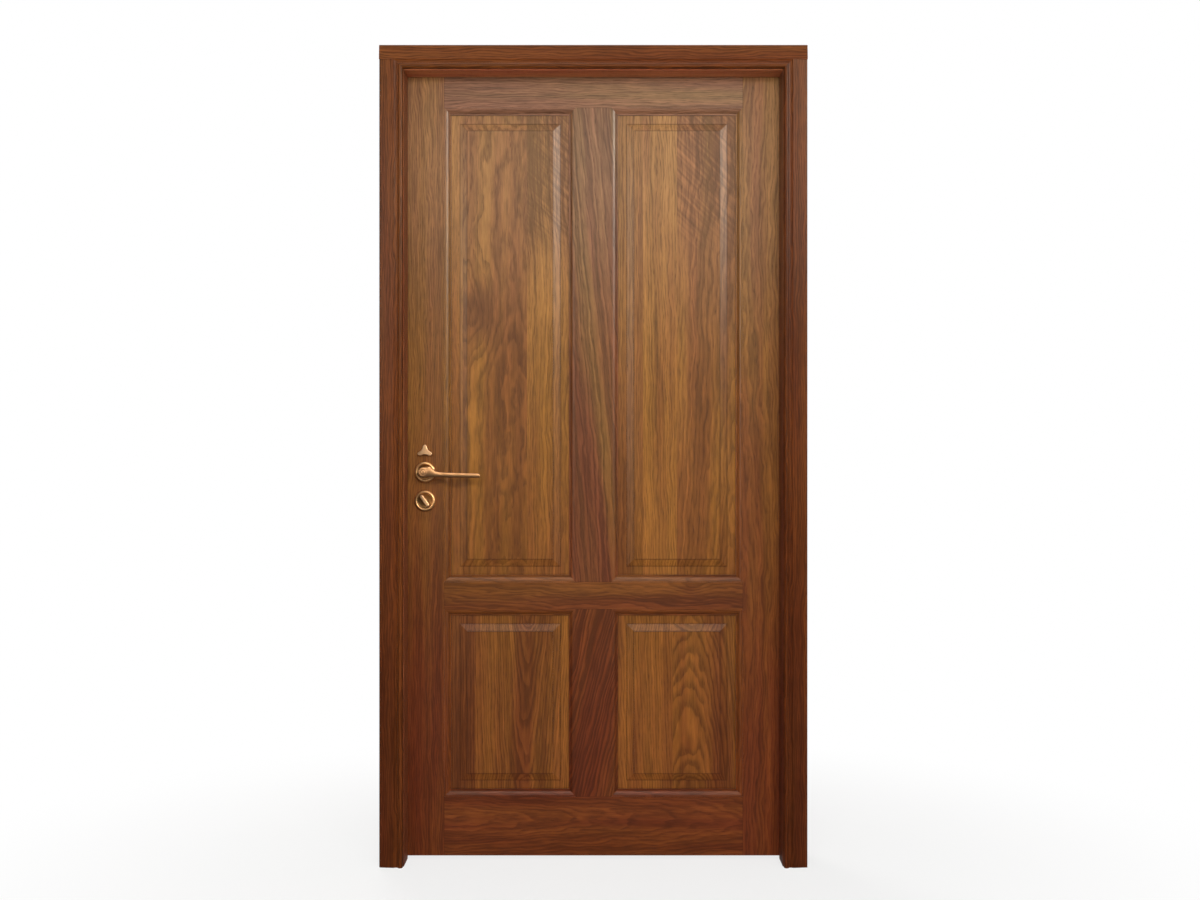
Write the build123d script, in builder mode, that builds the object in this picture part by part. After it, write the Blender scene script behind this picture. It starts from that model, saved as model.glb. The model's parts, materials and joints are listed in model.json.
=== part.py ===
from build123d import *
import os

# A four-panel interior door hung in its lining, with casings on both sides, in millimetres.
# Origin: middle of the doorway at floor level, halfway through the wall. +Y points away from
# the viewer, into the room that the leaf opens to. The hinges are at +X, the lock at -X.

# Leaf
LEAF_WIDTH = 959.0
LEAF_HEIGHT = 1972.0
LEAF_THICKNESS = 40.0
STILE_FACE = 103.0
TOP_RAIL_FACE = 87.0
LOCK_RAIL_FACE = 68.0
BOTTOM_RAIL_FACE = 148.0
MUNTIN_FACE = 90.0
LOWER_OPENING = 473.0
ARRIS = 1.5

# Moulded edge of the leaf's members, on both faces
STICKING_WIDTH = 17.0
STICKING_DEPTH = 10.5
STICKING_QUIRK = 1.5
STICKING_FILLET = 3.5
GROOVE_DEPTH = 10.0
TENON_THICKNESS = 12.0
TENON_LENGTH = 55.0
TENON_SHOULDER = 12.0
MUNTIN_TENON_LENGTH = 30.0
JOINT_CLEARANCE = 0.1
TENON_END_CLEARANCE = 1.5

# Raised and fielded panels
PANEL_TONGUE = 10.0
PANEL_ENTRY = 9.0
PANEL_BORDER = 22.0
PANEL_BEVEL = 18.0
PANEL_BORDER_STEP = 1.2
PANEL_FIELD_STEP = 1.6
PANEL_FIELD_THICKNESS = 28.0

# Gaps round the closed leaf
SIDE_GAP = 3.5
TOP_GAP = 4.0
FLOOR_GAP = 7.0
SEAL_GAP = 3.0

# Lining and stops
WALL_THICKNESS = 120.0
LINING_THICKNESS = 25.0
STOP_THICKNESS = 15.0
HOUSING_DEPTH = 8.0
CORNER_SCREW_RADIUS = 2.5
CORNER_SCREW_LENGTH = 70.0
CORNER_SCREW_INSET = 25.0

# Seal in the stop
SEAL_WIDTH = 6.0
SEAL_INSET = 3.0
SEAL_STEM_WIDTH = 2.6
SEAL_STEM_DEPTH = 6.0
SEAL_CLEARANCE = 0.3
SEAL_ROUND = 1.2

# Casings
CASING_WIDTH = 58.0
CASING_THICKNESS = 18.0
CASING_SETBACK = 2.0
CASING_BEAD = 12.0
CASING_COVE = 10.0
CASING_COVE_THICKNESS = 11.0
CASING_BAND_THICKNESS = 14.0
CASING_EDGE_THICKNESS = 10.0
CASING_EDGE_ROUND = 4.0
REAR_SETBACK = 8.0
REAR_THICKNESS = 14.0
REAR_ROUND = 5.0

# Hinges
HINGE_HEIGHT = 100.0
HINGE_PLATE_WIDTH = 31.0
HINGE_PLATE = 2.5
HINGE_KNUCKLE_RADIUS = 6.0
HINGE_PIN_RADIUS = 3.5
HINGE_PIN_CLEARANCE = 0.05
HINGE_STANDOFF = 6.5
HINGE_KNUCKLES = 5
HINGE_KNUCKLE_GAP = 0.3
HINGE_FINIAL_RADIUS = 5.5
HINGE_FINIAL_NECK = 2.0
HINGE_TOP_DROP = 180.0
HINGE_BOTTOM_RISE = 230.0
HINGE_SCREW_RADIUS = 2.0
HINGE_SCREW_HEAD = 4.2
HINGE_SCREW_LENGTH = 26.0
HINGE_SCREW_EDGE_SHARE = 0.14
HINGE_SCREW_OFFSET_SHARES = (0.34, 0.72)

# Lock
BACKSET = 55.0
HANDLE_HEIGHT = 973.0
TURN_DROP = 72.0
SNIB_RISE = 53.0
FOREND_HEIGHT = 235.0
FOREND_WIDTH = 20.0
FOREND_THICKNESS = 3.0
CASE_THICKNESS = 15.0
CASE_WALL = 1.5
CASE_BEHIND_AXIS = 26.0
CASE_TOP_MARGIN = 20.0
CASE_BOTTOM_MARGIN = 18.0
CASE_CLEARANCE = 0.5
MECHANISM_CLEARANCE = 0.2

# Latch bolt, drawn by the lever
LATCH_RISE = 18.0
LATCH_HEIGHT = 22.0
LATCH_HEAD_LENGTH = 40.0
LATCH_THROW = 10.0
LATCH_BEVEL = 8.0
LATCH_TAIL_HEIGHT = 12.0
LATCH_TAIL_BEHIND = 17.0
LATCH_NOTCH_HALF = 6.0
LATCH_NOTCH_DEPTH = 10.0

# Dead bolt, thrown by the thumb turn
BOLT_DROP = 40.0
BOLT_HEIGHT = 20.0
BOLT_HEAD_LENGTH = 39.0
BOLT_THROW = 20.0
BOLT_TAIL_RISE = 8.5
BOLT_TAIL_BEHIND = 22.0
BOLT_NOTCH_HALF = 5.8
BOLT_NOTCH_DEPTH = 10.0
BOLT_THICKNESS = 11.4
BOLT_RECESS = 0.2

# Follower and cranks
SPINDLE_SIDE = 8.0
TURN_SPINDLE_SIDE = 6.0
FOLLOWER_RADIUS = 10.0
FOLLOWER_JOURNAL = 8.0
FOLLOWER_ARM_RADIUS = 20.0
FOLLOWER_ARM_WIDTH = 6.0
CRANK_HUB_RADIUS = 7.5
CRANK_JOURNAL = 5.5
CRANK_ARM_RADIUS = 17.0
CRANK_ARM_WIDTH = 5.0
CRANK_REST_ANGLE = 45.0
SQUARE_CLEARANCE = 0.05

# Roses
ROSE_RADIUS = 26.0
ROSE_THICKNESS = 10.0
ROSE_RIM = 8.0
ROSE_RIM_ROUND = 4.0
ROSE_DISH_TOP = 4.5
ROSE_DISH_WALL = 2.0
ROSE_WALL = 2.5
ROSE_BASE = 2.0
ROSE_BASE_BORE = 12.0
ROSE_SCREW_RADIUS = 1.8
ROSE_SCREW_HEAD = 3.4
ROSE_SCREW_LENGTH = 13.0
ROSE_SCREW_RING = 18.0
NECK_CLEARANCE = 0.1

# Lever
LEVER_LENGTH = 142.0
LEVER_STANDOFF = 46.0
LEVER_NECK_RADIUS = 9.0
LEVER_BOSS_RADIUS = 13.0
LEVER_ROOT_HEIGHT = 26.0
LEVER_ROOT_DEPTH = 15.0
LEVER_SHOULDER_LENGTH = 14.0
LEVER_SHOULDER_HEIGHT = 28.0
LEVER_SHOULDER_RISE = 1.5
LEVER_FLARE_LENGTH = 38.0
LEVER_FLARE_DROP = 5.0
LEVER_BAR_HEIGHT = 13.0
LEVER_BAR_DEPTH = 11.0
LEVER_TIP_HEIGHT = 11.5
LEVER_TIP_DEPTH = 9.5
LEVER_DROOP = 8.0
LEVER_TIP_ROUND = 2.5
LEVER_SOCKET_DEPTH = 30.0
LEVER_GRUB_RADIUS = 2.0

# Thumb turn and its release
TURN_GAP = 0.3
TURN_NECK_SINK = 4.0
TURN_BAR_CLEARANCE = 1.0
TURN_BAR_WIDTH = 9.0
TURN_BAR_HEIGHT = 12.0
TURN_BAR_ROUND = 2.0
TURN_BAR_ANGLE = 55.0
TURN_NECK_RADIUS = 6.0
TURN_SOCKET_DEPTH = 8.0
RELEASE_RADIUS = 9.0
RELEASE_HEIGHT = 4.0
RELEASE_SLOT_WIDTH = 2.0
RELEASE_SLOT_DEPTH = 2.0

# Three-lobed snib knob above the lever
SNIB_WIDTH = 36.0
SNIB_HEIGHT = 27.0
SNIB_FOOT = 11.0
SNIB_LOBE_RADIUS = 4.5
SNIB_HOLLOW = 2.6
SNIB_SIDE_RADIUS = 18.0
SNIB_THICKNESS = 7.0
SNIB_STANDOFF = 6.0
SNIB_NECK_RADIUS = 4.5
SNIB_COLLAR_RADIUS = 7.5
SNIB_COLLAR_HEIGHT = 4.0
SNIB_TANG = 3.0
SNIB_ROUND = 1.5

# Strike plate and fixing screws of the lock
STRIKE_HEIGHT = 170.0
STRIKE_WIDTH = 24.0
STRIKE_THICKNESS = 2.0
STRIKE_HOLE_MARGIN = 1.5
KEEP_DEPTH_MARGIN = 2.5
PLATE_SCREW_RADIUS = 2.0
PLATE_SCREW_HEAD = 4.0
PLATE_SCREW_LENGTH = 20.0
PLATE_SCREW_INSET = 9.0

OVERRUN = 1.0

# Places worked out from the sizes above
leaf_rear = WALL_THICKNESS / 2
leaf_front = leaf_rear - LEAF_THICKNESS
leaf_mid = (leaf_front + leaf_rear) / 2
leaf_edge = LEAF_WIDTH / 2
leaf_bottom = FLOOR_GAP
leaf_top = leaf_bottom + LEAF_HEIGHT
lining_inner = leaf_edge + SIDE_GAP
lining_outer = lining_inner + LINING_THICKNESS
head_inner = leaf_top + TOP_GAP
head_outer = head_inner + LINING_THICKNESS
stop_inner = lining_inner - STOP_THICKNESS
head_stop = head_inner - STOP_THICKNESS
wall_front = -WALL_THICKNESS / 2
wall_rear = WALL_THICKNESS / 2
stop_face = leaf_front - SEAL_GAP

stile_sight = leaf_edge - STILE_FACE
muntin_sight = MUNTIN_FACE / 2
bottom_sight = leaf_bottom + BOTTOM_RAIL_FACE
lock_low = bottom_sight + LOWER_OPENING
lock_high = lock_low + LOCK_RAIL_FACE
top_sight = leaf_top - TOP_RAIL_FACE

handle_x = -leaf_edge + BACKSET
turn_z = HANDLE_HEIGHT - TURN_DROP
snib_z = HANDLE_HEIGHT + SNIB_RISE
latch_z = HANDLE_HEIGHT + LATCH_RISE
bolt_z = HANDLE_HEIGHT - BOLT_DROP
case_x0 = -leaf_edge + FOREND_THICKNESS
case_x1 = handle_x + CASE_BEHIND_AXIS
case_z0 = turn_z - CASE_BOTTOM_MARGIN
case_z1 = snib_z + CASE_TOP_MARGIN
forend_z = (case_z0 + case_z1) / 2
strike_z = (latch_z + bolt_z) / 2

hinge_x = leaf_edge + SIDE_GAP / 2
hinge_y = leaf_rear + HINGE_STANDOFF
hinge_low = leaf_bottom + HINGE_BOTTOM_RISE
hinge_high = leaf_top - HINGE_TOP_DROP
hinge_heights = {
    "bottom": hinge_low,
    "middle": (hinge_low + hinge_high) / 2,
    "top": hinge_high,
}

upper_left = (-stile_sight, -muntin_sight, lock_high, top_sight)
upper_right = (muntin_sight, stile_sight, lock_high, top_sight)
lower_left = (-stile_sight, -muntin_sight, bottom_sight, lock_low)
lower_right = (muntin_sight, stile_sight, bottom_sight, lock_low)

MIN3 = (Align.MIN, Align.MIN, Align.MIN)
ON_END = (Align.CENTER, Align.CENTER, Align.MIN)
LEFT, RIGHT = Vector(-1, 0, 0), Vector(1, 0, 0)
FRONT, BACK = Vector(0, -1, 0), Vector(0, 1, 0)
DOWN, UP = Vector(0, 0, -1), Vector(0, 0, 1)


def block(x, y, z, mode=Mode.ADD):
    """A block between two limits on each axis."""
    with Locations((x[0], y[0], z[0])):
        Box(x[1] - x[0], y[1] - y[0], z[1] - z[0], align=MIN3, mode=mode)


def rod(foot, direction, radius, length, mode=Mode.ADD):
    """A round rod, or a drilled hole, from its foot along a direction."""
    with Locations(Plane(origin=foot, z_dir=direction)):
        Cylinder(radius, length, align=ON_END, mode=mode)


def square_bar(foot, direction, side, length, mode=Mode.ADD):
    """A square bar, or a square socket, with its flats level and upright."""
    with Locations(Plane(origin=foot, x_dir=RIGHT, z_dir=direction)):
        Box(side, side, length, align=ON_END, mode=mode)


def screw_solid(seat, direction, radius, head_radius, length, clearance=0.0, mode=Mode.ADD):
    """A countersunk screw whose flat head lies on seat, driven along direction."""
    sink = head_radius - radius
    with Locations(Plane(origin=seat, z_dir=direction)):
        Cone(
            head_radius + clearance,
            radius + clearance,
            sink,
            align=ON_END,
            mode=mode,
        )
    rod(seat, direction, radius + clearance, length + clearance, mode)


def sticking_strip(opening, side):
    """The moulded and grooved edge along one side of an opening, mitred at both ends."""
    x0, x1, z0, z1 = opening
    mid = Vector((x0 + x1) / 2, leaf_mid, (z0 + z1) / 2)
    half_width, half_height = (x1 - x0) / 2, (z1 - z0) / 2
    inward, along, reach, half = {
        "left": (RIGHT, UP, half_width, half_height),
        "right": (LEFT, DOWN, half_width, half_height),
        "bottom": (UP, LEFT, half_height, half_width),
        "top": (DOWN, RIGHT, half_height, half_width),
    }[side]
    foot = mid - inward * reach
    face = LEAF_THICKNESS / 2
    lip = face - STICKING_DEPTH
    groove = PANEL_TONGUE / 2 + JOINT_CLEARANCE
    groove_foot = STICKING_WIDTH - GROOVE_DEPTH
    curve_end = STICKING_WIDTH - STICKING_FILLET
    with BuildPart() as strip:
        with BuildSketch(Plane(origin=foot, x_dir=inward, z_dir=along)):
            with BuildLine():
                Line((0, 0), (0, face - STICKING_QUIRK))
                TangentArc((0, face - STICKING_QUIRK), (curve_end, lip), tangent=(1, 0))
                Polyline(
                    (curve_end, lip),
                    (STICKING_WIDTH, lip),
                    (STICKING_WIDTH, groove),
                    (groove_foot, groove),
                    (groove_foot, 0),
                    (0, 0),
                )
            make_face()
            mirror(about=Plane.XZ)
        extrude(amount=half, both=True)
        for end in (along, along * -1):
            split(
                bisect_by=Plane(origin=foot + end * half, z_dir=inward + end),
                keep=Keep.BOTTOM,
            )
    return strip.part


def tenon_limits(low, high):
    """Heights between which a rail's tenon stands, inside its shoulders."""
    return low + TENON_SHOULDER, high - TENON_SHOULDER


tenon_y = (leaf_mid - TENON_THICKNESS / 2, leaf_mid + TENON_THICKNESS / 2)
leaf_y = (leaf_front, leaf_rear)
rail_heights = {
    "top": (top_sight, leaf_top),
    "lock": (lock_low, lock_high),
    "bottom": (leaf_bottom, bottom_sight),
}


def grown(limits, amount):
    """Limits moved apart by an amount at each end."""
    return limits[0] - amount, limits[1] + amount


def cut_rail_mortises(sign):
    """Mortises for the three rails' tenons in the inner edge of a stile."""
    inner = sign * stile_sight
    bottom = sign * (stile_sight + TENON_LENGTH + TENON_END_CLEARANCE)
    for low, high in rail_heights.values():
        block(
            sorted((inner, bottom)),
            grown(tenon_y, JOINT_CLEARANCE),
            grown(tenon_limits(low, high), JOINT_CLEARANCE),
            Mode.SUBTRACT,
        )


def hinge_screw_places(z):
    """Depth behind the rear face and height of the four screws of a hinge plate."""
    edge = HINGE_SCREW_EDGE_SHARE * HINGE_HEIGHT
    near, far = (share * HINGE_PLATE_WIDTH for share in HINGE_SCREW_OFFSET_SHARES)
    half = HINGE_HEIGHT / 2
    inner = half - (half - edge) / 2
    return [
        (near, z - half + edge),
        (far, z - inner / 2),
        (far, z + inner / 2),
        (near, z + half - edge),
    ]


def hinge_screws(seat_x, direction, clearance=0.0, mode=Mode.ADD):
    """All screws, or all screw holes, of the three hinge plates on one side."""
    for z in hinge_heights.values():
        for depth, height in hinge_screw_places(z):
            screw_solid(
                (seat_x, leaf_rear - depth, height),
                direction,
                HINGE_SCREW_RADIUS,
                HINGE_SCREW_HEAD,
                HINGE_SCREW_LENGTH,
                clearance,
                mode,
            )


def hinge_recesses(x_limits):
    """Recesses for the three hinge plates, cut in from the rear edge."""
    for z in hinge_heights.values():
        half = HINGE_HEIGHT / 2 + JOINT_CLEARANCE
        block(
            x_limits,
            (leaf_rear - HINGE_PLATE_WIDTH - JOINT_CLEARANCE, leaf_rear + OVERRUN),
            (z - half, z + half),
            Mode.SUBTRACT,
        )


def forend_screw_heights():
    """Heights of the two screws in the forend."""
    reach = FOREND_HEIGHT / 2 - PLATE_SCREW_INSET
    return forend_z - reach, forend_z + reach


def strike_screw_heights():
    """Heights of the two screws in the strike plate."""
    reach = STRIKE_HEIGHT / 2 - PLATE_SCREW_INSET
    return strike_z - reach, strike_z + reach


def plate_screws(seat_x, direction, heights, clearance=0.0, mode=Mode.ADD):
    """The screws, or screw holes, of the forend or the strike plate."""
    for height in heights:
        screw_solid(
            (seat_x, leaf_mid, height),
            direction,
            PLATE_SCREW_RADIUS,
            PLATE_SCREW_HEAD,
            PLATE_SCREW_LENGTH,
            clearance,
            mode,
        )


def upright_plate(x0, thickness, z, height, width, mode=Mode.ADD):
    """An upright plate with round ends, standing across the lock's edge."""
    with BuildSketch(Plane(origin=(x0, leaf_mid, z), x_dir=UP, z_dir=RIGHT)) as outline:
        SlotOverall(height, width)
    extrude(outline.sketch, amount=thickness, mode=mode)


def rose_screw_places(z):
    """Places of the two wood screws under a rose."""
    return [(handle_x, z + side * ROSE_SCREW_RING) for side in (-1, 1)]


rose_faces = {"front": (leaf_front, FRONT), "rear": (leaf_rear, BACK)}


def rose_screws(clearance=0.0, mode=Mode.ADD):
    """Wood screws, or their pilot holes, under the four roses."""
    for face, outward in rose_faces.values():
        for z in (HANDLE_HEIGHT, turn_z):
            for x, height in rose_screw_places(z):
                screw_solid(
                    Vector(x, face, height) + outward * ROSE_BASE,
                    outward * -1,
                    ROSE_SCREW_RADIUS,
                    ROSE_SCREW_HEAD,
                    ROSE_SCREW_LENGTH,
                    clearance,
                    mode,
                )


def export(part, name):
    """Label a finished piece and write it."""
    part.label = name
    export_step(part, f"parts/{name}.step")


os.makedirs("parts", exist_ok=True)

# Leaf: stiles, rails and muntins
with BuildPart() as lock_stile:
    block((-leaf_edge, -stile_sight), leaf_y, (leaf_bottom, leaf_top))
    chamfer(lock_stile.edges().filter_by(Axis.Z).group_by(Axis.X)[0], ARRIS)
    add(sticking_strip(upper_left, "left"))
    add(sticking_strip(lower_left, "left"))
    cut_rail_mortises(-1)
    block(
        (-leaf_edge, case_x1 + CASE_CLEARANCE),
        grown((leaf_mid - CASE_THICKNESS / 2, leaf_mid + CASE_THICKNESS / 2), CASE_CLEARANCE),
        grown((case_z0, case_z1), CASE_CLEARANCE),
        Mode.SUBTRACT,
    )
    upright_plate(
        -leaf_edge,
        FOREND_THICKNESS,
        forend_z,
        FOREND_HEIGHT + JOINT_CLEARANCE,
        FOREND_WIDTH + JOINT_CLEARANCE,
        Mode.SUBTRACT,
    )
    plate_screws(-leaf_edge, RIGHT, forend_screw_heights(), JOINT_CLEARANCE, Mode.SUBTRACT)
    for height, radius in (
        (HANDLE_HEIGHT, LEVER_NECK_RADIUS + ROSE_WALL),
        (turn_z, TURN_NECK_RADIUS + ROSE_WALL),
    ):
        rod((handle_x, leaf_front, height), BACK, radius, LEAF_THICKNESS, Mode.SUBTRACT)
    rod(
        (handle_x, leaf_front, snib_z),
        BACK,
        SNIB_NECK_RADIUS + NECK_CLEARANCE,
        LEAF_THICKNESS / 2,
        Mode.SUBTRACT,
    )
    rose_screws(JOINT_CLEARANCE, Mode.SUBTRACT)
export(lock_stile.part, "lock_stile")

with BuildPart() as hinge_stile:
    block((stile_sight, leaf_edge), leaf_y, (leaf_bottom, leaf_top))
    chamfer(hinge_stile.edges().filter_by(Axis.Z).group_by(Axis.X)[-1], ARRIS)
    add(sticking_strip(upper_right, "right"))
    add(sticking_strip(lower_right, "right"))
    cut_rail_mortises(1)
    hinge_recesses((leaf_edge - HINGE_PLATE, leaf_edge))
    hinge_screws(leaf_edge, LEFT, JOINT_CLEARANCE, Mode.SUBTRACT)
export(hinge_stile.part, "hinge_stile")

muntin_tenon_x = (-muntin_sight + TENON_SHOULDER, muntin_sight - TENON_SHOULDER)
rail_strips = {
    "top": [(upper_left, "top"), (upper_right, "top")],
    "lock": [
        (upper_left, "bottom"),
        (upper_right, "bottom"),
        (lower_left, "top"),
        (lower_right, "top"),
    ],
    "bottom": [(lower_left, "bottom"), (lower_right, "bottom")],
}
mortise_depth = MUNTIN_TENON_LENGTH + TENON_END_CLEARANCE

for rail_name, (low, high) in rail_heights.items():
    with BuildPart() as rail:
        block((-stile_sight, stile_sight), leaf_y, (low, high))
        for opening, side in rail_strips[rail_name]:
            add(sticking_strip(opening, side))
        tenon_reach = stile_sight + TENON_LENGTH
        block((-tenon_reach, tenon_reach), tenon_y, tenon_limits(low, high))
        mortises = []
        if rail_name != "bottom":
            mortises.append((low, low + mortise_depth))
        if rail_name != "top":
            mortises.append((high - mortise_depth, high))
        for limits in mortises:
            block(
                grown(muntin_tenon_x, JOINT_CLEARANCE),
                grown(tenon_y, JOINT_CLEARANCE),
                limits,
                Mode.SUBTRACT,
            )
    export(rail.part, f"{rail_name}_rail")

muntins = {
    "upper": (upper_left, upper_right, lock_high, top_sight),
    "lower": (lower_left, lower_right, bottom_sight, lock_low),
}
for muntin_name, (left, right, low, high) in muntins.items():
    with BuildPart() as muntin:
        block((-muntin_sight, muntin_sight), leaf_y, (low, high))
        add(sticking_strip(left, "right"))
        add(sticking_strip(right, "left"))
        block(muntin_tenon_x, tenon_y, grown((low, high), MUNTIN_TENON_LENGTH))
    export(muntin.part, f"{muntin_name}_muntin")

# Leaf: raised and fielded panels, free in their grooves
panel_openings = {
    "upper_left_panel": upper_left,
    "upper_right_panel": upper_right,
    "lower_left_panel": lower_left,
    "lower_right_panel": lower_right,
}
for panel_name, (x0, x1, z0, z1) in panel_openings.items():
    middle = ((x0 + x1) / 2, leaf_mid, (z0 + z1) / 2)
    sight_width = x1 - x0 - 2 * STICKING_WIDTH
    sight_height = z1 - z0 - 2 * STICKING_WIDTH
    raise_width = sight_width - 2 * PANEL_BORDER
    raise_height = sight_height - 2 * PANEL_BORDER
    field_width = raise_width - 2 * PANEL_BEVEL
    field_height = raise_height - 2 * PANEL_BEVEL
    step_top = PANEL_TONGUE / 2 + PANEL_BORDER_STEP
    field_top = PANEL_FIELD_THICKNESS / 2
    bevel_top = field_top - PANEL_FIELD_STEP
    with BuildPart() as panel:
        with Locations(middle):
            Box(sight_width + 2 * PANEL_ENTRY, PANEL_TONGUE, sight_height + 2 * PANEL_ENTRY)
            Box(raise_width, 2 * step_top, raise_height)
            Box(field_width, 2 * field_top, field_height)
        for outward in (FRONT, BACK):
            base = Vector(*middle)
            with BuildSketch(Plane(base + outward * step_top, x_dir=RIGHT, z_dir=outward)):
                Rectangle(raise_width, raise_height)
            with BuildSketch(Plane(base + outward * bevel_top, x_dir=RIGHT, z_dir=outward)):
                Rectangle(field_width, field_height)
            loft(ruled=True)
    export(panel.part, panel_name)

# Lining: two uprights and a head housed between them
lining_y = (wall_front, wall_rear)
head_reach = lining_inner + HOUSING_DEPTH
corner_screw_y = (wall_front + CORNER_SCREW_INSET, wall_rear - CORNER_SCREW_INSET)
corner_screw_z = (head_inner + head_outer) / 2


def corner_screws(clearance=0.0, mode=Mode.ADD):
    """Screws, or their holes, through the uprights into the ends of the head."""
    for sign, direction in ((-1, RIGHT), (1, LEFT)):
        for y in corner_screw_y:
            rod(
                (sign * lining_outer, y, corner_screw_z),
                direction,
                CORNER_SCREW_RADIUS + clearance,
                CORNER_SCREW_LENGTH + clearance,
                mode,
            )


keeps = {"latch": (latch_z, LATCH_HEIGHT, LATCH_THROW), "bolt": (bolt_z, BOLT_HEIGHT, BOLT_THROW)}


def cut_keeps(x0, x1_by_throw):
    """Pockets for the two bolts, cut from x0 to a depth that follows each throw."""
    for height, tall, throw in keeps.values():
        block(
            (-leaf_edge - throw - x1_by_throw, x0),
            grown((leaf_mid - BOLT_THICKNESS / 2, leaf_mid + BOLT_THICKNESS / 2), STRIKE_HOLE_MARGIN),
            grown((height - tall / 2, height + tall / 2), STRIKE_HOLE_MARGIN),
            Mode.SUBTRACT,
        )


for sign, lining_name in ((-1, "lock_lining"), (1, "hinge_lining")):
    with BuildPart() as lining:
        block(sorted((sign * lining_inner, sign * lining_outer)), lining_y, (0, head_outer))
        block(
            sorted((sign * lining_inner, sign * head_reach)),
            lining_y,
            (head_inner, head_outer),
            Mode.SUBTRACT,
        )
        corner_screws(JOINT_CLEARANCE, Mode.SUBTRACT)
        if sign > 0:
            hinge_recesses((lining_inner, lining_inner + HINGE_PLATE))
            hinge_screws(lining_inner, RIGHT, JOINT_CLEARANCE, Mode.SUBTRACT)
        else:
            upright_plate(
                -lining_inner - STRIKE_THICKNESS,
                STRIKE_THICKNESS,
                strike_z,
                STRIKE_HEIGHT + JOINT_CLEARANCE,
                STRIKE_WIDTH + JOINT_CLEARANCE,
                Mode.SUBTRACT,
            )
            plate_screws(
                -lining_inner, LEFT, strike_screw_heights(), JOINT_CLEARANCE, Mode.SUBTRACT
            )
            cut_keeps(-lining_inner, KEEP_DEPTH_MARGIN)
    export(lining.part, lining_name)

with BuildPart() as head_lining:
    block((-head_reach, head_reach), lining_y, (head_inner, head_outer))
    corner_screws(JOINT_CLEARANCE, Mode.SUBTRACT)
export(head_lining.part, "head_lining")

with BuildPart() as lining_screws:
    corner_screws()
export(lining_screws.part, "lining_screws")

# Stops planted on the lining, grooved for the seal
seal_mid = stop_inner + SEAL_INSET + SEAL_WIDTH / 2
seal_top_mid = head_stop + SEAL_INSET + SEAL_WIDTH / 2


def seal_run(width, y0, y1, mode=Mode.ADD):
    """A band of one width that runs up one stop, along the head and down the other."""
    half = width / 2
    with BuildSketch(Plane(origin=(0, y1, 0), x_dir=RIGHT, z_dir=FRONT)) as band:
        with Locations((0, 0)):
            Rectangle(
                2 * (seal_mid + half), seal_top_mid + half, align=(Align.CENTER, Align.MIN)
            )
            Rectangle(
                2 * (seal_mid - half),
                seal_top_mid - half,
                align=(Align.CENTER, Align.MIN),
                mode=Mode.SUBTRACT,
            )
    extrude(band.sketch, amount=y1 - y0, mode=mode)


stop_y = (wall_front, stop_face)
groove_width = SEAL_STEM_WIDTH + 2 * JOINT_CLEARANCE
groove_y = stop_face - SEAL_STEM_DEPTH
for sign, stop_name in ((-1, "lock_stop"), (1, "hinge_stop")):
    with BuildPart() as stop:
        block(sorted((sign * stop_inner, sign * lining_inner)), stop_y, (0, head_inner))
        seal_run(groove_width, groove_y, stop_face, Mode.SUBTRACT)
    export(stop.part, stop_name)

with BuildPart() as head_stop_piece:
    block((-stop_inner, stop_inner), stop_y, (head_stop, head_inner))
    seal_run(groove_width, groove_y, stop_face, Mode.SUBTRACT)
export(head_stop_piece.part, "head_stop")

with BuildPart() as frame_seal:
    seal_run(SEAL_WIDTH, stop_face, leaf_front - SEAL_CLEARANCE)
    fillet(frame_seal.faces().sort_by(Axis.Y)[-1].edges().filter_by(GeomType.LINE), SEAL_ROUND)
    seal_run(SEAL_STEM_WIDTH, groove_y + JOINT_CLEARANCE, stop_face)
export(frame_seal.part, "frame_seal")

# Front casings: the moulded inner edge is mitred, the flat band of the head runs over the legs
casing_inner = stop_inner + CASING_SETBACK
casing_head = head_stop + CASING_SETBACK
casing_outer = casing_inner + CASING_WIDTH
casing_top = casing_head + CASING_WIDTH
moulding_width = CASING_BEAD + CASING_COVE


def casing_plane(foot, outward, along):
    """Section plane of a casing: its x runs outwards from the doorway."""
    return Plane(origin=foot, x_dir=outward, z_dir=along)


def moulding_section(plane):
    """Rounded bead on the inner edge, then a cove that sinks towards the flat band."""
    flip = -plane.y_dir.Y
    bead_drop = CASING_THICKNESS - CASING_BEAD / 2
    with BuildSketch(plane) as section:
        with BuildLine():
            Line((0, 0), (0, flip * bead_drop))
            ThreePointArc(
                (0, flip * bead_drop),
                (CASING_BEAD / 2, flip * CASING_THICKNESS),
                (CASING_BEAD, flip * bead_drop),
            )
            ThreePointArc(
                (CASING_BEAD, flip * bead_drop),
                (CASING_BEAD + CASING_COVE / 2, flip * CASING_COVE_THICKNESS),
                (moulding_width, flip * CASING_BAND_THICKNESS),
            )
            Line((moulding_width, flip * CASING_BAND_THICKNESS), (moulding_width, 0))
            Line((moulding_width, 0), (0, 0))
        make_face()
    return section.sketch


def band_section(plane):
    """Gently falling flat band with a rounded outer edge."""
    flip = -plane.y_dir.Y
    shoulder = CASING_WIDTH - CASING_EDGE_ROUND
    with BuildSketch(plane) as section:
        with BuildLine():
            Polyline(
                (moulding_width, 0),
                (moulding_width, flip * CASING_BAND_THICKNESS),
                (shoulder, flip * CASING_EDGE_THICKNESS),
            )
            EllipticalCenterArc(
                (shoulder, flip * (CASING_EDGE_THICKNESS - CASING_EDGE_ROUND)),
                CASING_EDGE_ROUND,
                CASING_EDGE_ROUND,
                start_angle=0 if flip > 0 else 270,
                arc_size=90,
            )
            Line(
                (CASING_WIDTH, flip * (CASING_EDGE_THICKNESS - CASING_EDGE_ROUND)),
                (CASING_WIDTH, 0),
            )
            Line((CASING_WIDTH, 0), (moulding_width, 0))
        make_face()
    return section.sketch


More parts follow.
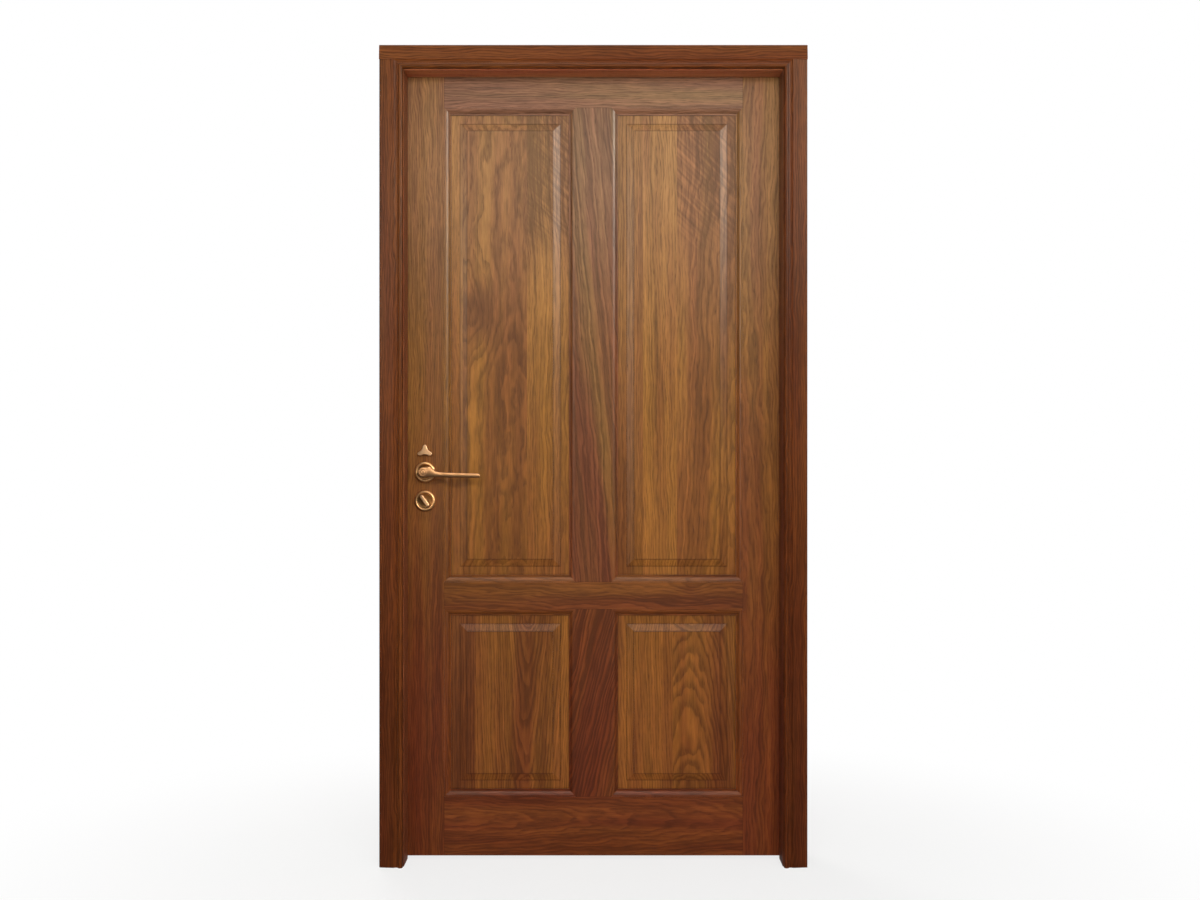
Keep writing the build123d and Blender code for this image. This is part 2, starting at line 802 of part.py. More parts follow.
for sign, leg_name in ((-1, "front_casing_left"), (1, "front_casing_right")):
    outward = RIGHT * sign
    plane = casing_plane((sign * casing_inner, wall_front, 0), outward, UP)
    with BuildPart() as leg:
        extrude(moulding_section(plane), amount=casing_head + moulding_width)
        split(
            bisect_by=Plane((sign * casing_inner, wall_front, casing_head), z_dir=UP - outward),
            keep=Keep.BOTTOM,
        )
        extrude(band_section(plane), amount=casing_head + moulding_width)
    export(leg.part, leg_name)

with BuildPart() as casing_head_piece:
    head_plane = casing_plane((-casing_outer, wall_front, casing_head), UP, RIGHT)
    extrude(moulding_section(head_plane), amount=2 * casing_outer)
    for sign in (-1, 1):
        split(
            bisect_by=Plane(
                (sign * casing_inner, wall_front, casing_head), z_dir=RIGHT * sign - UP
            ),
            keep=Keep.BOTTOM,
        )
    extrude(band_section(head_plane), amount=2 * casing_outer)
export(casing_head_piece.part, "front_casing_head")

# Rear casings: plain rounded boards, set back to clear the hinge knuckles
rear_inner = lining_inner + REAR_SETBACK
rear_head = head_inner + REAR_SETBACK
rear_y = (wall_rear, wall_rear + REAR_THICKNESS)
for sign, leg_name in ((-1, "rear_casing_left"), (1, "rear_casing_right")):
    with BuildPart() as rear_leg:
        block(sorted((sign * rear_inner, sign * casing_outer)), rear_y, (0, rear_head))
        fillet(rear_leg.faces().sort_by(Axis.Y)[-1].edges().filter_by(Axis.Z), REAR_ROUND)
    export(rear_leg.part, leg_name)

with BuildPart() as rear_head_piece:
    block((-casing_outer, casing_outer), rear_y, (rear_head, casing_top))
    fillet(rear_head_piece.faces().sort_by(Axis.Y)[-1].edges().filter_by(Axis.X), REAR_ROUND)
export(rear_head_piece.part, "rear_casing_head")

# Hinges: the frame plate holds the pin, the leaf plate turns on it
knuckle_pitch = HINGE_HEIGHT / HINGE_KNUCKLES
hinge_sides = {
    "frame": (lining_inner, lining_inner + HINGE_PLATE, 0),
    "leaf": (leaf_edge - HINGE_PLATE, leaf_edge, 1),
}
for place, z in hinge_heights.items():
    bottom = z - HINGE_HEIGHT / 2
    for side, (x0, x1, first) in hinge_sides.items():
        with BuildPart() as plate:
            block(
                (x0, x1),
                (leaf_rear - HINGE_PLATE_WIDTH, leaf_rear),
                (bottom, bottom + HINGE_HEIGHT),
            )
            for index in range(first, HINGE_KNUCKLES, 2):
                low = bottom + index * knuckle_pitch + HINGE_KNUCKLE_GAP / 2
                tall = knuckle_pitch - HINGE_KNUCKLE_GAP
                block((x0, x1), (leaf_rear, hinge_y), (low, low + tall))
                rod((hinge_x, hinge_y, low), UP, HINGE_KNUCKLE_RADIUS, tall)
            rod(
                (hinge_x, hinge_y, bottom),
                UP,
                HINGE_PIN_RADIUS + HINGE_PIN_CLEARANCE,
                HINGE_HEIGHT,
                Mode.SUBTRACT,
            )
            seat_x, direction = (x0, RIGHT) if side == "frame" else (x1, LEFT)
            hinge_screws(seat_x, direction, JOINT_CLEARANCE, Mode.SUBTRACT)
        export(plate.part, f"hinge_{place}_{side}_plate")
    with BuildPart() as pin:
        rod((hinge_x, hinge_y, bottom), UP, HINGE_PIN_RADIUS, HINGE_HEIGHT)
        for end, direction in ((bottom, DOWN), (bottom + HINGE_HEIGHT, UP)):
            rod((hinge_x, hinge_y, end), direction, HINGE_PIN_RADIUS, HINGE_FINIAL_NECK)
            lift = HINGE_FINIAL_NECK + HINGE_FINIAL_RADIUS - HINGE_PIN_RADIUS / 2
            with Locations(Vector(hinge_x, hinge_y, end) + direction * lift):
                Sphere(HINGE_FINIAL_RADIUS)
    export(pin.part, f"hinge_{place}_pin")

with BuildPart() as frame_hinge_screws:
    hinge_screws(lining_inner, RIGHT)
export(frame_hinge_screws.part, "frame_hinge_screws")

with BuildPart() as leaf_hinge_screws:
    hinge_screws(leaf_edge, LEFT)
export(leaf_hinge_screws.part, "leaf_hinge_screws")

# Mortise lock: a flat case behind the forend, open towards it
case_y = (leaf_mid - CASE_THICKNESS / 2, leaf_mid + CASE_THICKNESS / 2)
cavity_y = grown(case_y, -CASE_WALL)
with BuildPart() as lock_case:
    block((case_x0, case_x1), case_y, (case_z0, case_z1))
    block(
        (case_x0, case_x1 - CASE_WALL),
        cavity_y,
        grown((case_z0, case_z1), -CASE_WALL),
        Mode.SUBTRACT,
    )
    for height, radius in (
        (HANDLE_HEIGHT, FOLLOWER_JOURNAL),
        (turn_z, CRANK_JOURNAL),
        (snib_z, SNIB_NECK_RADIUS),
    ):
        rod(
            (handle_x, case_y[0], height),
            BACK,
            radius + NECK_CLEARANCE,
            CASE_THICKNESS,
            Mode.SUBTRACT,
        )
export(lock_case.part, "lock_case")

with BuildPart() as lock_forend:
    upright_plate(-leaf_edge, FOREND_THICKNESS, forend_z, FOREND_HEIGHT, FOREND_WIDTH)
    for height, tall in ((latch_z, LATCH_HEIGHT), (bolt_z, BOLT_HEIGHT)):
        block(
            (-leaf_edge, case_x0),
            grown(
                (leaf_mid - BOLT_THICKNESS / 2, leaf_mid + BOLT_THICKNESS / 2), MECHANISM_CLEARANCE
            ),
            grown((height - tall / 2, height + tall / 2), MECHANISM_CLEARANCE),
            Mode.SUBTRACT,
        )
    plate_screws(-leaf_edge, RIGHT, forend_screw_heights(), JOINT_CLEARANCE, Mode.SUBTRACT)
export(lock_forend.part, "lock_forend")

with BuildPart() as forend_screws:
    plate_screws(-leaf_edge, RIGHT, forend_screw_heights())
export(forend_screws.part, "forend_screws")

bolt_y = (leaf_mid - BOLT_THICKNESS / 2, leaf_mid + BOLT_THICKNESS / 2)
with BuildPart() as latch_bolt:
    tip = -leaf_edge - LATCH_THROW
    head_z = (latch_z - LATCH_HEIGHT / 2, latch_z + LATCH_HEIGHT / 2)
    block((tip, tip + LATCH_HEAD_LENGTH), bolt_y, head_z)
    chamfer(
        latch_bolt.faces().sort_by(Axis.X)[0].edges().filter_by(Axis.Z).sort_by(Axis.Y)[0],
        LATCH_BEVEL,
    )
    tail_low = latch_z - LATCH_TAIL_HEIGHT / 2
    block(
        (tip + LATCH_HEAD_LENGTH, handle_x + LATCH_TAIL_BEHIND - LATCH_THROW),
        bolt_y,
        (tail_low, tail_low + LATCH_TAIL_HEIGHT),
    )
    block(
        (handle_x - LATCH_NOTCH_HALF, handle_x + LATCH_NOTCH_HALF),
        bolt_y,
        (tail_low, tail_low + LATCH_NOTCH_DEPTH),
        Mode.SUBTRACT,
    )
export(latch_bolt.part, "latch_bolt")

with BuildPart() as dead_bolt:
    nose = -leaf_edge + BOLT_RECESS
    block(
        (nose, nose + BOLT_HEAD_LENGTH), bolt_y, (bolt_z - BOLT_HEIGHT / 2, bolt_z + BOLT_HEIGHT / 2)
    )
    notch_x = handle_x + BOLT_THROW / 2
    tail_low = turn_z + BOLT_TAIL_RISE
    block(
        (nose + BOLT_HEAD_LENGTH, handle_x + BOLT_TAIL_BEHIND),
        bolt_y,
        (tail_low, bolt_z + BOLT_HEIGHT / 2),
    )
    block(
        (notch_x - BOLT_NOTCH_HALF, notch_x + BOLT_NOTCH_HALF),
        bolt_y,
        (tail_low, tail_low + BOLT_NOTCH_DEPTH),
        Mode.SUBTRACT,
    )
export(dead_bolt.part, "dead_bolt")

# Lever set: follower in the lock, square spindle, a lever on each face
spindle_reach = LEVER_STANDOFF - LEVER_SOCKET_DEPTH / 2
follower_y = grown(cavity_y, -MECHANISM_CLEARANCE)
with BuildPart() as follower:
    rod(
        (handle_x, follower_y[0], HANDLE_HEIGHT),
        BACK,
        FOLLOWER_RADIUS,
        follower_y[1] - follower_y[0],
    )
    rod((handle_x, case_y[0], HANDLE_HEIGHT), BACK, FOLLOWER_JOURNAL, CASE_THICKNESS)
    block(
        (handle_x - FOLLOWER_ARM_WIDTH / 2, handle_x + FOLLOWER_ARM_WIDTH / 2),
        follower_y,
        (HANDLE_HEIGHT, HANDLE_HEIGHT + FOLLOWER_ARM_RADIUS),
    )
    square_bar(
        (handle_x, case_y[0], HANDLE_HEIGHT),
        BACK,
        SPINDLE_SIDE + 2 * SQUARE_CLEARANCE,
        CASE_THICKNESS,
        Mode.SUBTRACT,
    )
export(follower.part, "follower")

with BuildPart() as lever_spindle:
    square_bar(
        (handle_x, leaf_front - spindle_reach, HANDLE_HEIGHT),
        BACK,
        SPINDLE_SIDE,
        LEAF_THICKNESS + 2 * spindle_reach,
    )
export(lever_spindle.part, "lever_spindle")


def lever_section(offset, height, depth, drop, face, outward):
    """Oval section across the lever at a distance from its axis."""
    centre = Vector(handle_x + offset, face, HANDLE_HEIGHT - drop) + outward * LEVER_STANDOFF
    with BuildSketch(Plane(origin=centre, x_dir=BACK, z_dir=RIGHT)) as section:
        Ellipse(depth / 2, height / 2)
    return section.sketch


# Distance from the axis, height, depth and drop of the sections that the lever is lofted through
lever_cuts = [
    (0, LEVER_ROOT_HEIGHT, LEVER_ROOT_DEPTH, 0),
    (LEVER_SHOULDER_LENGTH, LEVER_SHOULDER_HEIGHT, LEVER_ROOT_DEPTH, -LEVER_SHOULDER_RISE),
    (LEVER_FLARE_LENGTH, LEVER_BAR_HEIGHT, LEVER_BAR_DEPTH, LEVER_FLARE_DROP),
    (LEVER_LENGTH, LEVER_TIP_HEIGHT, LEVER_TIP_DEPTH, LEVER_DROOP),
]
socket_end = LEVER_STANDOFF - LEVER_SOCKET_DEPTH / 2 + OVERRUN
grub_lift = (ROSE_THICKNESS + LEVER_STANDOFF - LEVER_ROOT_DEPTH / 2) / 2
for face_name, (face, outward) in rose_faces.items():
    axis_point = Vector(handle_x, face, HANDLE_HEIGHT)
    boss_depth = LEVER_ROOT_DEPTH / 2
    with BuildPart() as lever:
        neck_length = LEVER_STANDOFF - boss_depth - ROSE_BASE
        rod(axis_point + outward * ROSE_BASE, outward, LEVER_NECK_RADIUS, neck_length)
        rod(
            axis_point + outward * (LEVER_STANDOFF - boss_depth),
            outward,
            LEVER_BOSS_RADIUS,
            LEVER_ROOT_DEPTH,
        )
        fillet(lever.edges().filter_by(GeomType.CIRCLE).group_by(SortBy.RADIUS)[-1], boss_depth / 2)
        sections = [lever_section(*cut, face, outward) for cut in lever_cuts]
        for near, far in zip(sections, sections[1:]):
            loft([near, far], ruled=True)
        fillet(lever.faces().sort_by(Axis.X)[-1].edges(), LEVER_TIP_ROUND)
        square_bar(
            axis_point,
            outward,
            SPINDLE_SIDE + 2 * SQUARE_CLEARANCE,
            socket_end,
            Mode.SUBTRACT,
        )
        rod(
            axis_point + outward * grub_lift,
            DOWN,
            LEVER_GRUB_RADIUS + SQUARE_CLEARANCE,
            LEVER_NECK_RADIUS + OVERRUN,
            Mode.SUBTRACT,
        )
    export(lever.part, f"lever_{face_name}")

with BuildPart() as lever_grub_screws:
    for face, outward in rose_faces.values():
        rod(
            Vector(handle_x, face, HANDLE_HEIGHT - SPINDLE_SIDE / 2) + outward * grub_lift,
            DOWN,
            LEVER_GRUB_RADIUS,
            LEVER_NECK_RADIUS - SPINDLE_SIDE / 2 - SQUARE_CLEARANCE,
        )
export(lever_grub_screws.part, "lever_grub_screws")

# Roses: a rimmed dish under each lever, and the same under the turn and its release
rose_rows = {
    "lever": (HANDLE_HEIGHT, LEVER_NECK_RADIUS + NECK_CLEARANCE),
    "turn": (turn_z, TURN_NECK_RADIUS + NECK_CLEARANCE),
}
dish_radius = ROSE_RADIUS - ROSE_RIM
for row_name, (height, bore) in rose_rows.items():
    for face_name, (face, outward) in rose_faces.items():
        rise = 1 if outward.Y > 0 else -1
        dish_back = rise * (ROSE_DISH_TOP - ROSE_DISH_WALL)
        with BuildPart() as rose:
            with BuildSketch(Plane(origin=(handle_x, face, height), x_dir=RIGHT, z_dir=UP)):
                with BuildLine():
                    Polyline(
                        (dish_radius, rise * (ROSE_THICKNESS - ROSE_RIM_ROUND)),
                        (dish_radius, rise * ROSE_DISH_TOP),
                        (bore, rise * ROSE_DISH_TOP),
                        (bore, dish_back),
                        (ROSE_RADIUS - ROSE_WALL, dish_back),
                        (ROSE_RADIUS - ROSE_WALL, 0),
                        (ROSE_RADIUS, 0),
                        (ROSE_RADIUS, rise * (ROSE_THICKNESS - ROSE_RIM_ROUND)),
                    )
                    ThreePointArc(
                        (ROSE_RADIUS, rise * (ROSE_THICKNESS - ROSE_RIM_ROUND)),
                        (ROSE_RADIUS - ROSE_RIM / 2, rise * ROSE_THICKNESS),
                        (dish_radius, rise * (ROSE_THICKNESS - ROSE_RIM_ROUND)),
                    )
                make_face()
            revolve(axis=Axis((handle_x, face, height), BACK))
        export(rose.part, f"{row_name}_rose_{face_name}")

with BuildPart() as rose_bases:
    for face, outward in rose_faces.values():
        for height in (HANDLE_HEIGHT, turn_z):
            centre = (handle_x, face, height)
            rod(centre, outward, ROSE_RADIUS - ROSE_WALL - NECK_CLEARANCE, ROSE_BASE)
            rod(centre, outward, ROSE_BASE_BORE, ROSE_BASE, Mode.SUBTRACT)
    rose_screws(JOINT_CLEARANCE, Mode.SUBTRACT)
export(rose_bases.part, "rose_bases")

with BuildPart() as rose_fixing_screws:
    rose_screws()
export(rose_fixing_screws.part, "rose_screws")

# Thumb turn: a bar in the dish, a crank in the lock and a slotted release behind
with BuildPart() as thumb_turn:
    turn_axis = Vector(handle_x, leaf_front, turn_z)
    bar_foot = turn_axis + FRONT * (ROSE_DISH_TOP + TURN_GAP)
    bar_length = 2 * (dish_radius - TURN_BAR_CLEARANCE)
    bar_line = RIGHT.rotate(Axis.Y, TURN_BAR_ANGLE)
    with BuildSketch(Plane(origin=bar_foot, x_dir=bar_line, z_dir=FRONT)):
        SlotOverall(bar_length, TURN_BAR_WIDTH)
    extrude(amount=TURN_BAR_HEIGHT)
    fillet(thumb_turn.faces().sort_by(Axis.Y)[0].edges(), TURN_BAR_ROUND)
    neck_foot = turn_axis + BACK * TURN_NECK_SINK
    rod(neck_foot, FRONT, TURN_NECK_RADIUS, TURN_NECK_SINK + ROSE_DISH_TOP + TURN_GAP)
    square_bar(
        neck_foot,
        FRONT,
        TURN_SPINDLE_SIDE + 2 * SQUARE_CLEARANCE,
        TURN_SOCKET_DEPTH,
        Mode.SUBTRACT,
    )
export(thumb_turn.part, "thumb_turn")

with BuildPart() as turn_release:
    release_axis = Vector(handle_x, leaf_rear, turn_z)
    disc_foot = release_axis + BACK * (ROSE_DISH_TOP + TURN_GAP)
    rod(disc_foot, BACK, RELEASE_RADIUS, RELEASE_HEIGHT)
    neck_foot = release_axis + FRONT * TURN_NECK_SINK
    rod(neck_foot, BACK, TURN_NECK_RADIUS, TURN_NECK_SINK + ROSE_DISH_TOP + TURN_GAP)
    slot_y = disc_foot.Y + RELEASE_HEIGHT
    block(
        (handle_x - RELEASE_RADIUS, handle_x + RELEASE_RADIUS),
        (slot_y - RELEASE_SLOT_DEPTH, slot_y),
        (turn_z - RELEASE_SLOT_WIDTH / 2, turn_z + RELEASE_SLOT_WIDTH / 2),
        Mode.SUBTRACT,
    )
    square_bar(
        neck_foot,
        BACK,
        TURN_SPINDLE_SIDE + 2 * SQUARE_CLEARANCE,
        TURN_SOCKET_DEPTH,
        Mode.SUBTRACT,
    )
export(turn_release.part, "turn_release")

with BuildPart() as turn_spindle:
    spindle_end = TURN_SOCKET_DEPTH - TURN_NECK_SINK - SQUARE_CLEARANCE
    square_bar(
        (handle_x, leaf_front - spindle_end, turn_z),
        BACK,
        TURN_SPINDLE_SIDE,
        LEAF_THICKNESS + 2 * spindle_end,
    )
export(turn_spindle.part, "turn_spindle")

with BuildPart() as turn_crank:
    rod((handle_x, follower_y[0], turn_z), BACK, CRANK_HUB_RADIUS, follower_y[1] - follower_y[0])
    rod((handle_x, case_y[0], turn_z), BACK, CRANK_JOURNAL, CASE_THICKNESS)
    arm_line = UP.rotate(Axis.Y, CRANK_REST_ANGLE)
    with Locations(Plane(origin=(handle_x, leaf_mid, turn_z), x_dir=BACK, z_dir=arm_line)):
        Box(follower_y[1] - follower_y[0], CRANK_ARM_WIDTH, CRANK_ARM_RADIUS, align=ON_END)
    square_bar(
        (handle_x, case_y[0], turn_z),
        BACK,
        TURN_SPINDLE_SIDE + 2 * SQUARE_CLEARANCE,
        CASE_THICKNESS,
        Mode.SUBTRACT,
    )
export(turn_crank.part, "turn_crank")

# Snib: a three-lobed knob on a round neck whose flat tang enters the lock
snib_axis = Vector(handle_x, leaf_front, snib_z)
with BuildPart() as snib_collar:
    rod(snib_axis, FRONT, SNIB_COLLAR_RADIUS, SNIB_COLLAR_HEIGHT)
    fillet(snib_collar.faces().sort_by(Axis.Y)[0].edges(), SNIB_ROUND)
    rod(
        snib_axis, FRONT, SNIB_NECK_RADIUS + NECK_CLEARANCE, SNIB_COLLAR_HEIGHT, Mode.SUBTRACT
    )
export(snib_collar.part, "snib_collar")

lobe_side = SNIB_WIDTH / 2 - SNIB_LOBE_RADIUS
lobe_foot = SNIB_LOBE_RADIUS - SNIB_FOOT
snib_lobes = [
    Vector(0, SNIB_HEIGHT - SNIB_FOOT - SNIB_LOBE_RADIUS),
    Vector(-lobe_side, lobe_foot),
    Vector(lobe_side, lobe_foot),
]
snib_hollow_centre = SNIB_LOBE_RADIUS - SNIB_HOLLOW + SNIB_SIDE_RADIUS
with BuildPart() as snib_knob:
    with BuildSketch(
        Plane(origin=snib_axis + FRONT * SNIB_STANDOFF, x_dir=RIGHT, z_dir=FRONT)
    ):
        with Locations(*snib_lobes):
            Circle(SNIB_LOBE_RADIUS)
        make_hull()
        for lobe, after in zip(snib_lobes, snib_lobes[1:] + snib_lobes[:1]):
            side = after - lobe
            outwards = Vector(side.Y, -side.X).normalized()
            with Locations((lobe + after) / 2 + outwards * snib_hollow_centre):
                Circle(SNIB_SIDE_RADIUS, mode=Mode.SUBTRACT)
    extrude(amount=SNIB_THICKNESS)
    fillet(snib_knob.faces().sort_by(Axis.Y)[0].edges(), SNIB_ROUND)
    neck_back = leaf_mid - leaf_front
    rod(
        snib_axis + FRONT * SNIB_STANDOFF, BACK, SNIB_NECK_RADIUS, SNIB_STANDOFF + neck_back
    )
    for sign in (-1, 1):
        cheek = sorted((sign * SNIB_TANG / 2, sign * SNIB_NECK_RADIUS))
        block(
            (handle_x + cheek[0], handle_x + cheek[1]),
            (cavity_y[0], leaf_mid),
            (snib_z - SNIB_NECK_RADIUS, snib_z + SNIB_NECK_RADIUS),
            Mode.SUBTRACT,
        )
export(snib_knob.part, "snib_knob")

# Strike plate in the lining, opposite the forend
with BuildPart() as strike_plate:
    upright_plate(
        -lining_inner - STRIKE_THICKNESS, STRIKE_THICKNESS, strike_z, STRIKE_HEIGHT, STRIKE_WIDTH
    )
    cut_keeps(-lining_inner, KEEP_DEPTH_MARGIN)
    plate_screws(-lining_inner, LEFT, strike_screw_heights(), JOINT_CLEARANCE, Mode.SUBTRACT)
export(strike_plate.part, "strike_plate")

with BuildPart() as strike_screws:
    plate_screws(-lining_inner, LEFT, strike_screw_heights())
export(strike_screws.part, "strike_screws")
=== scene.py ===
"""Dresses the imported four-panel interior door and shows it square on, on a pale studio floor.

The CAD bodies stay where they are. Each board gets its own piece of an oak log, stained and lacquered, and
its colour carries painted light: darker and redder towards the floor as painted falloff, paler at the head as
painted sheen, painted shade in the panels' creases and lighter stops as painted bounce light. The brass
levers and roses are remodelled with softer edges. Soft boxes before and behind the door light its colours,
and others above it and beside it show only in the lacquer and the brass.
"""

from __future__ import annotations

import json
import logging
import math
from dataclasses import dataclass
from enum import Enum

import bpy
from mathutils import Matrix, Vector

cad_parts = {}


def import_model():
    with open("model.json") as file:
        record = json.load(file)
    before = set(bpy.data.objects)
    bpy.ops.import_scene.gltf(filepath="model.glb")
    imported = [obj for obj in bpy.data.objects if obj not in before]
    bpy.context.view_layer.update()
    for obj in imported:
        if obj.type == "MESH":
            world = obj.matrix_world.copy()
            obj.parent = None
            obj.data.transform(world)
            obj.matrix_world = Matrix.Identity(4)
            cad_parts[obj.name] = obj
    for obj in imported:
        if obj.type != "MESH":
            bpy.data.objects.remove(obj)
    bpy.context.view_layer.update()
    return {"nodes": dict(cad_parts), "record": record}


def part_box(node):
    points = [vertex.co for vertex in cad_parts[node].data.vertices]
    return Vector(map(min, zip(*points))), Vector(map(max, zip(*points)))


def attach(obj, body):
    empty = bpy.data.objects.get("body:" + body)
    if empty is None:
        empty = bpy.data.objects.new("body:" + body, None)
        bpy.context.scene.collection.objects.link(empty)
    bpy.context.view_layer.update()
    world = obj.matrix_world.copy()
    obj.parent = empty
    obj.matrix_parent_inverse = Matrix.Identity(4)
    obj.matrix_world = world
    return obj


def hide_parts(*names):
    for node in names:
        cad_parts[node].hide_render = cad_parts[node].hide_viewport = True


LOG = logging.getLogger("panel_door")

Pair = tuple[float, float]
Triple = tuple[float, float, float]
Colour = Triple
Tint = tuple[int, int, int]
Socket = bpy.types.NodeSocket
Piece = bpy.types.Object
Material = bpy.types.Material
Feed = Socket | float | tuple[float, ...]
Steps = tuple[float, float, float, float]
Profile = tuple[Pair, ...]

WHITE = (1.0, 1.0, 1.0, 1.0)


def display(red: int, green: int, blue: int) -> Colour:
    """Turn a colour as a screen shows it into the linear colour that shaders take.

    Args:
        red: Red, from 0 to 255.
        green: Green, from 0 to 255.
        blue: Blue, from 0 to 255.

    Returns:
        The linear colour.
    """

    def linear(value: int) -> float:
        """Undo the screen's curve for one channel."""
        share = value / 255
        return share / 12.92 if share <= 0.04045 else ((share + 0.055) / 1.055) ** 2.4

    return linear(red), linear(green), linear(blue)


@dataclass(frozen=True)
class Figure:
    """A soft noise that a finish is made with.

    Attributes:
        waves: Waves per metre along each axis.
        shift: What sets it apart from the finish's other noises.
        detail: How many finer layers it has.
        reach: How far it shifts a value to either side.
    """

    waves: Triple
    shift: float
    detail: float = 2.0
    reach: float = 0.0


class NodeSheet:
    """Short calls for the shader nodes that the finishes and the surroundings share."""

    SEED_SPREAD = (1.0, 0.37, 0.73)

    def __init__(self, tree: bpy.types.ShaderNodeTree, coordinates: str) -> None:
        """Keep a node tree and its coordinates at hand.

        Args:
            tree: The node tree.
            coordinates: Name of the coordinates that its patterns follow.
        """
        self.tree = tree
        self.place: Socket = self.node("ShaderNodeTexCoord").outputs[coordinates]

    def node(self, kind: str) -> bpy.types.Node:
        """Add a node of one kind."""
        return self.tree.nodes.new(kind)

    def feed(self, socket: Socket, value: Feed) -> None:
        """Link an output to a socket, or set a fixed value on it.

        Args:
            socket: The socket that takes the value.
            value: An output socket, a number or a vector.
        """
        if isinstance(value, Socket):
            self.tree.links.new(value, socket)
        else:
            socket.default_value = value

    def fed(self, kind: str, values: tuple[Feed, ...], operation: str = "") -> bpy.types.Node:
        """Add a node and feed its first sockets.

        Args:
            kind: The kind of node.
            values: What the sockets take, in order.
            operation: Name of its operation, where it has a choice.

        Returns:
            The node.
        """
        node = self.node(kind)
        if operation:
            node.operation = operation
        for socket, value in zip(node.inputs, values):
            self.feed(socket, value)
        return node

    def math(self, operation: str, *numbers: Feed) -> Socket:
        """Work out one number from up to three.

        Args:
            operation: Name of the Math node's operation.
            *numbers: The numbers that it takes.

        Returns:
            The node's output.
        """
        return self.fed("ShaderNodeMath", numbers, operation).outputs[0]

    def add(self, first: Feed, second: Feed) -> Socket:
        """Add two numbers."""
        return self.math("ADD", first, second)

    def times(self, first: Feed, second: Feed) -> Socket:
        """Multiply two numbers."""
        return self.math("MULTIPLY", first, second)

    def axes(self) -> tuple[Socket, Socket, Socket]:
        """Split the coordinates into x, y and z."""
        split = self.fed("ShaderNodeSeparateXYZ", (self.place,)).outputs
        return split[0], split[1], split[2]

    def point(self, x: Feed, y: Feed, z: Feed) -> Socket:
        """Join three numbers into a vector."""
        return self.fed("ShaderNodeCombineXYZ", (x, y, z)).outputs[0]

    def length(self, vector: Socket) -> Socket:
        """Length of a vector."""
        return self.fed("ShaderNodeVectorMath", (vector,), "LENGTH").outputs["Value"]

    def noise(self, figure: Figure, where: Socket, seed: float = 0.0) -> Socket:
        """Soft noise, stretched by its own waves along each axis.

        Args:
            figure: The noise.
            where: The place on the surface.
            seed: Shift that gives one board a pattern of its own.

        Returns:
            The noise, about 0 to 1 with its middle at a half.
        """
        shift = tuple((seed + figure.shift) * share for share in self.SEED_SPREAD)
        stretch = self.fed("ShaderNodeVectorMath", (where, figure.waves, shift), "MULTIPLY_ADD")
        node = self.fed("ShaderNodeTexNoise", (stretch.outputs[0],))
        self.feed(node.inputs["Scale"], 1.0)
        self.feed(node.inputs["Detail"], figure.detail)
        return node.outputs[0]

    def centred(self, value: Socket, reach: float) -> Socket:
        """Turn noise of 0 to 1 into a shift to either side."""
        return self.times(self.math("SUBTRACT", value, 0.5), 2 * reach)

    def band(self, value: Feed, low: float, high: float, bottom: float = 0.0, top: float = 1.0) -> Socket:
        """A smooth step from one level to another.

        Args:
            value: The number that drives the step.
            low: Where the step starts.
            high: Where the step ends.
            bottom: Level before the step.
            top: Level after the step.

        Returns:
            The stepped number.
        """
        node = self.fed("ShaderNodeMapRange", (value, low, high, bottom, top))
        node.interpolation_type = "SMOOTHSTEP"
        return node.outputs[0]

    def mix(self, share: Feed, first: Feed, second: Feed) -> Socket:
        """Mix two colours.

        Args:
            share: How much of the second colour shows.
            first: The first colour.
            second: The second colour.

        Returns:
            The mixed colour.
        """
        node = self.node("ShaderNodeMix")
        node.data_type = "RGBA"
        self.feed(node.inputs[0], share)
        for socket, value in zip((node.inputs[6], node.inputs[7]), (first, second)):
            self.feed(socket, value if isinstance(value, Socket) else (*value, 1.0))
        return node.outputs[2]

    def shade(self, colour: Socket, level: Socket) -> Socket:
        """Make a colour lighter or darker by a factor."""
        node = self.fed("ShaderNodeVectorMath", (colour,), "SCALE")
        self.feed(node.inputs["Scale"], level)
        return node.outputs[0]

    def rays(self) -> tuple[Socket, Socket]:
        """Tell what the eye sees straight on, and what shows in reflections."""
        path = self.node("ShaderNodeLightPath").outputs
        seen = self.math("MAXIMUM", path["Is Camera Ray"], path["Is Transmission Ray"])
        return seen, path["Is Glossy Ray"]

    def blend(self, share: Socket, first: bpy.types.Node, second: bpy.types.Node, output: str) -> None:
        """Show one of two shaders, or a mix of them.

        Args:
            share: How much of the second shader shows.
            first: The first shader.
            second: The second shader.
            output: Name of the tree's output node.
        """
        choice = self.fed("ShaderNodeMixShader", (share, first.outputs[0], second.outputs[0]))
        self.feed(self.tree.nodes[output].inputs["Surface"], choice.outputs[0])


class FinishSheet(NodeSheet):
    """A new material with its shader at hand, on Object coordinates."""

    def __init__(self, name: str) -> None:
        """Make the material.

        Args:
            name: The material's name.
        """
        self.material = bpy.data.materials.new(name)
        self.material.use_nodes = True
        super().__init__(self.material.node_tree, "Object")
        self.shader = self.tree.nodes["Principled BSDF"]

    def bump(self, height: Socket, depth: float, strength: float) -> None:
        """Give the shader fine relief.

        Args:
            height: Relief, from 0 to 1.
            depth: What a height of 1 measures, in metres.
            strength: How strongly the relief shows.
        """
        node = self.node("ShaderNodeBump")
        self.feed(node.inputs["Strength"], strength)
        self.feed(node.inputs["Distance"], depth)
        self.feed(node.inputs["Height"], height)
        self.feed(self.shader.inputs["Normal"], node.outputs[0])

    def set(self, **values: Feed) -> None:
        """Set the shader's sockets, named in lower case with underscores.

        Args:
            **values: Socket names and what they take.
        """
        for name, value in values.items():
            words = name.split("_")
            label = " ".join(w.upper() if w == "ior" else w.capitalize() for w in words)
            self.feed(self.shader.inputs[label], value)


class Run(Enum):
    """Which way a board's grain runs."""

    UPRIGHT = "upright"
    LEVEL = "level"


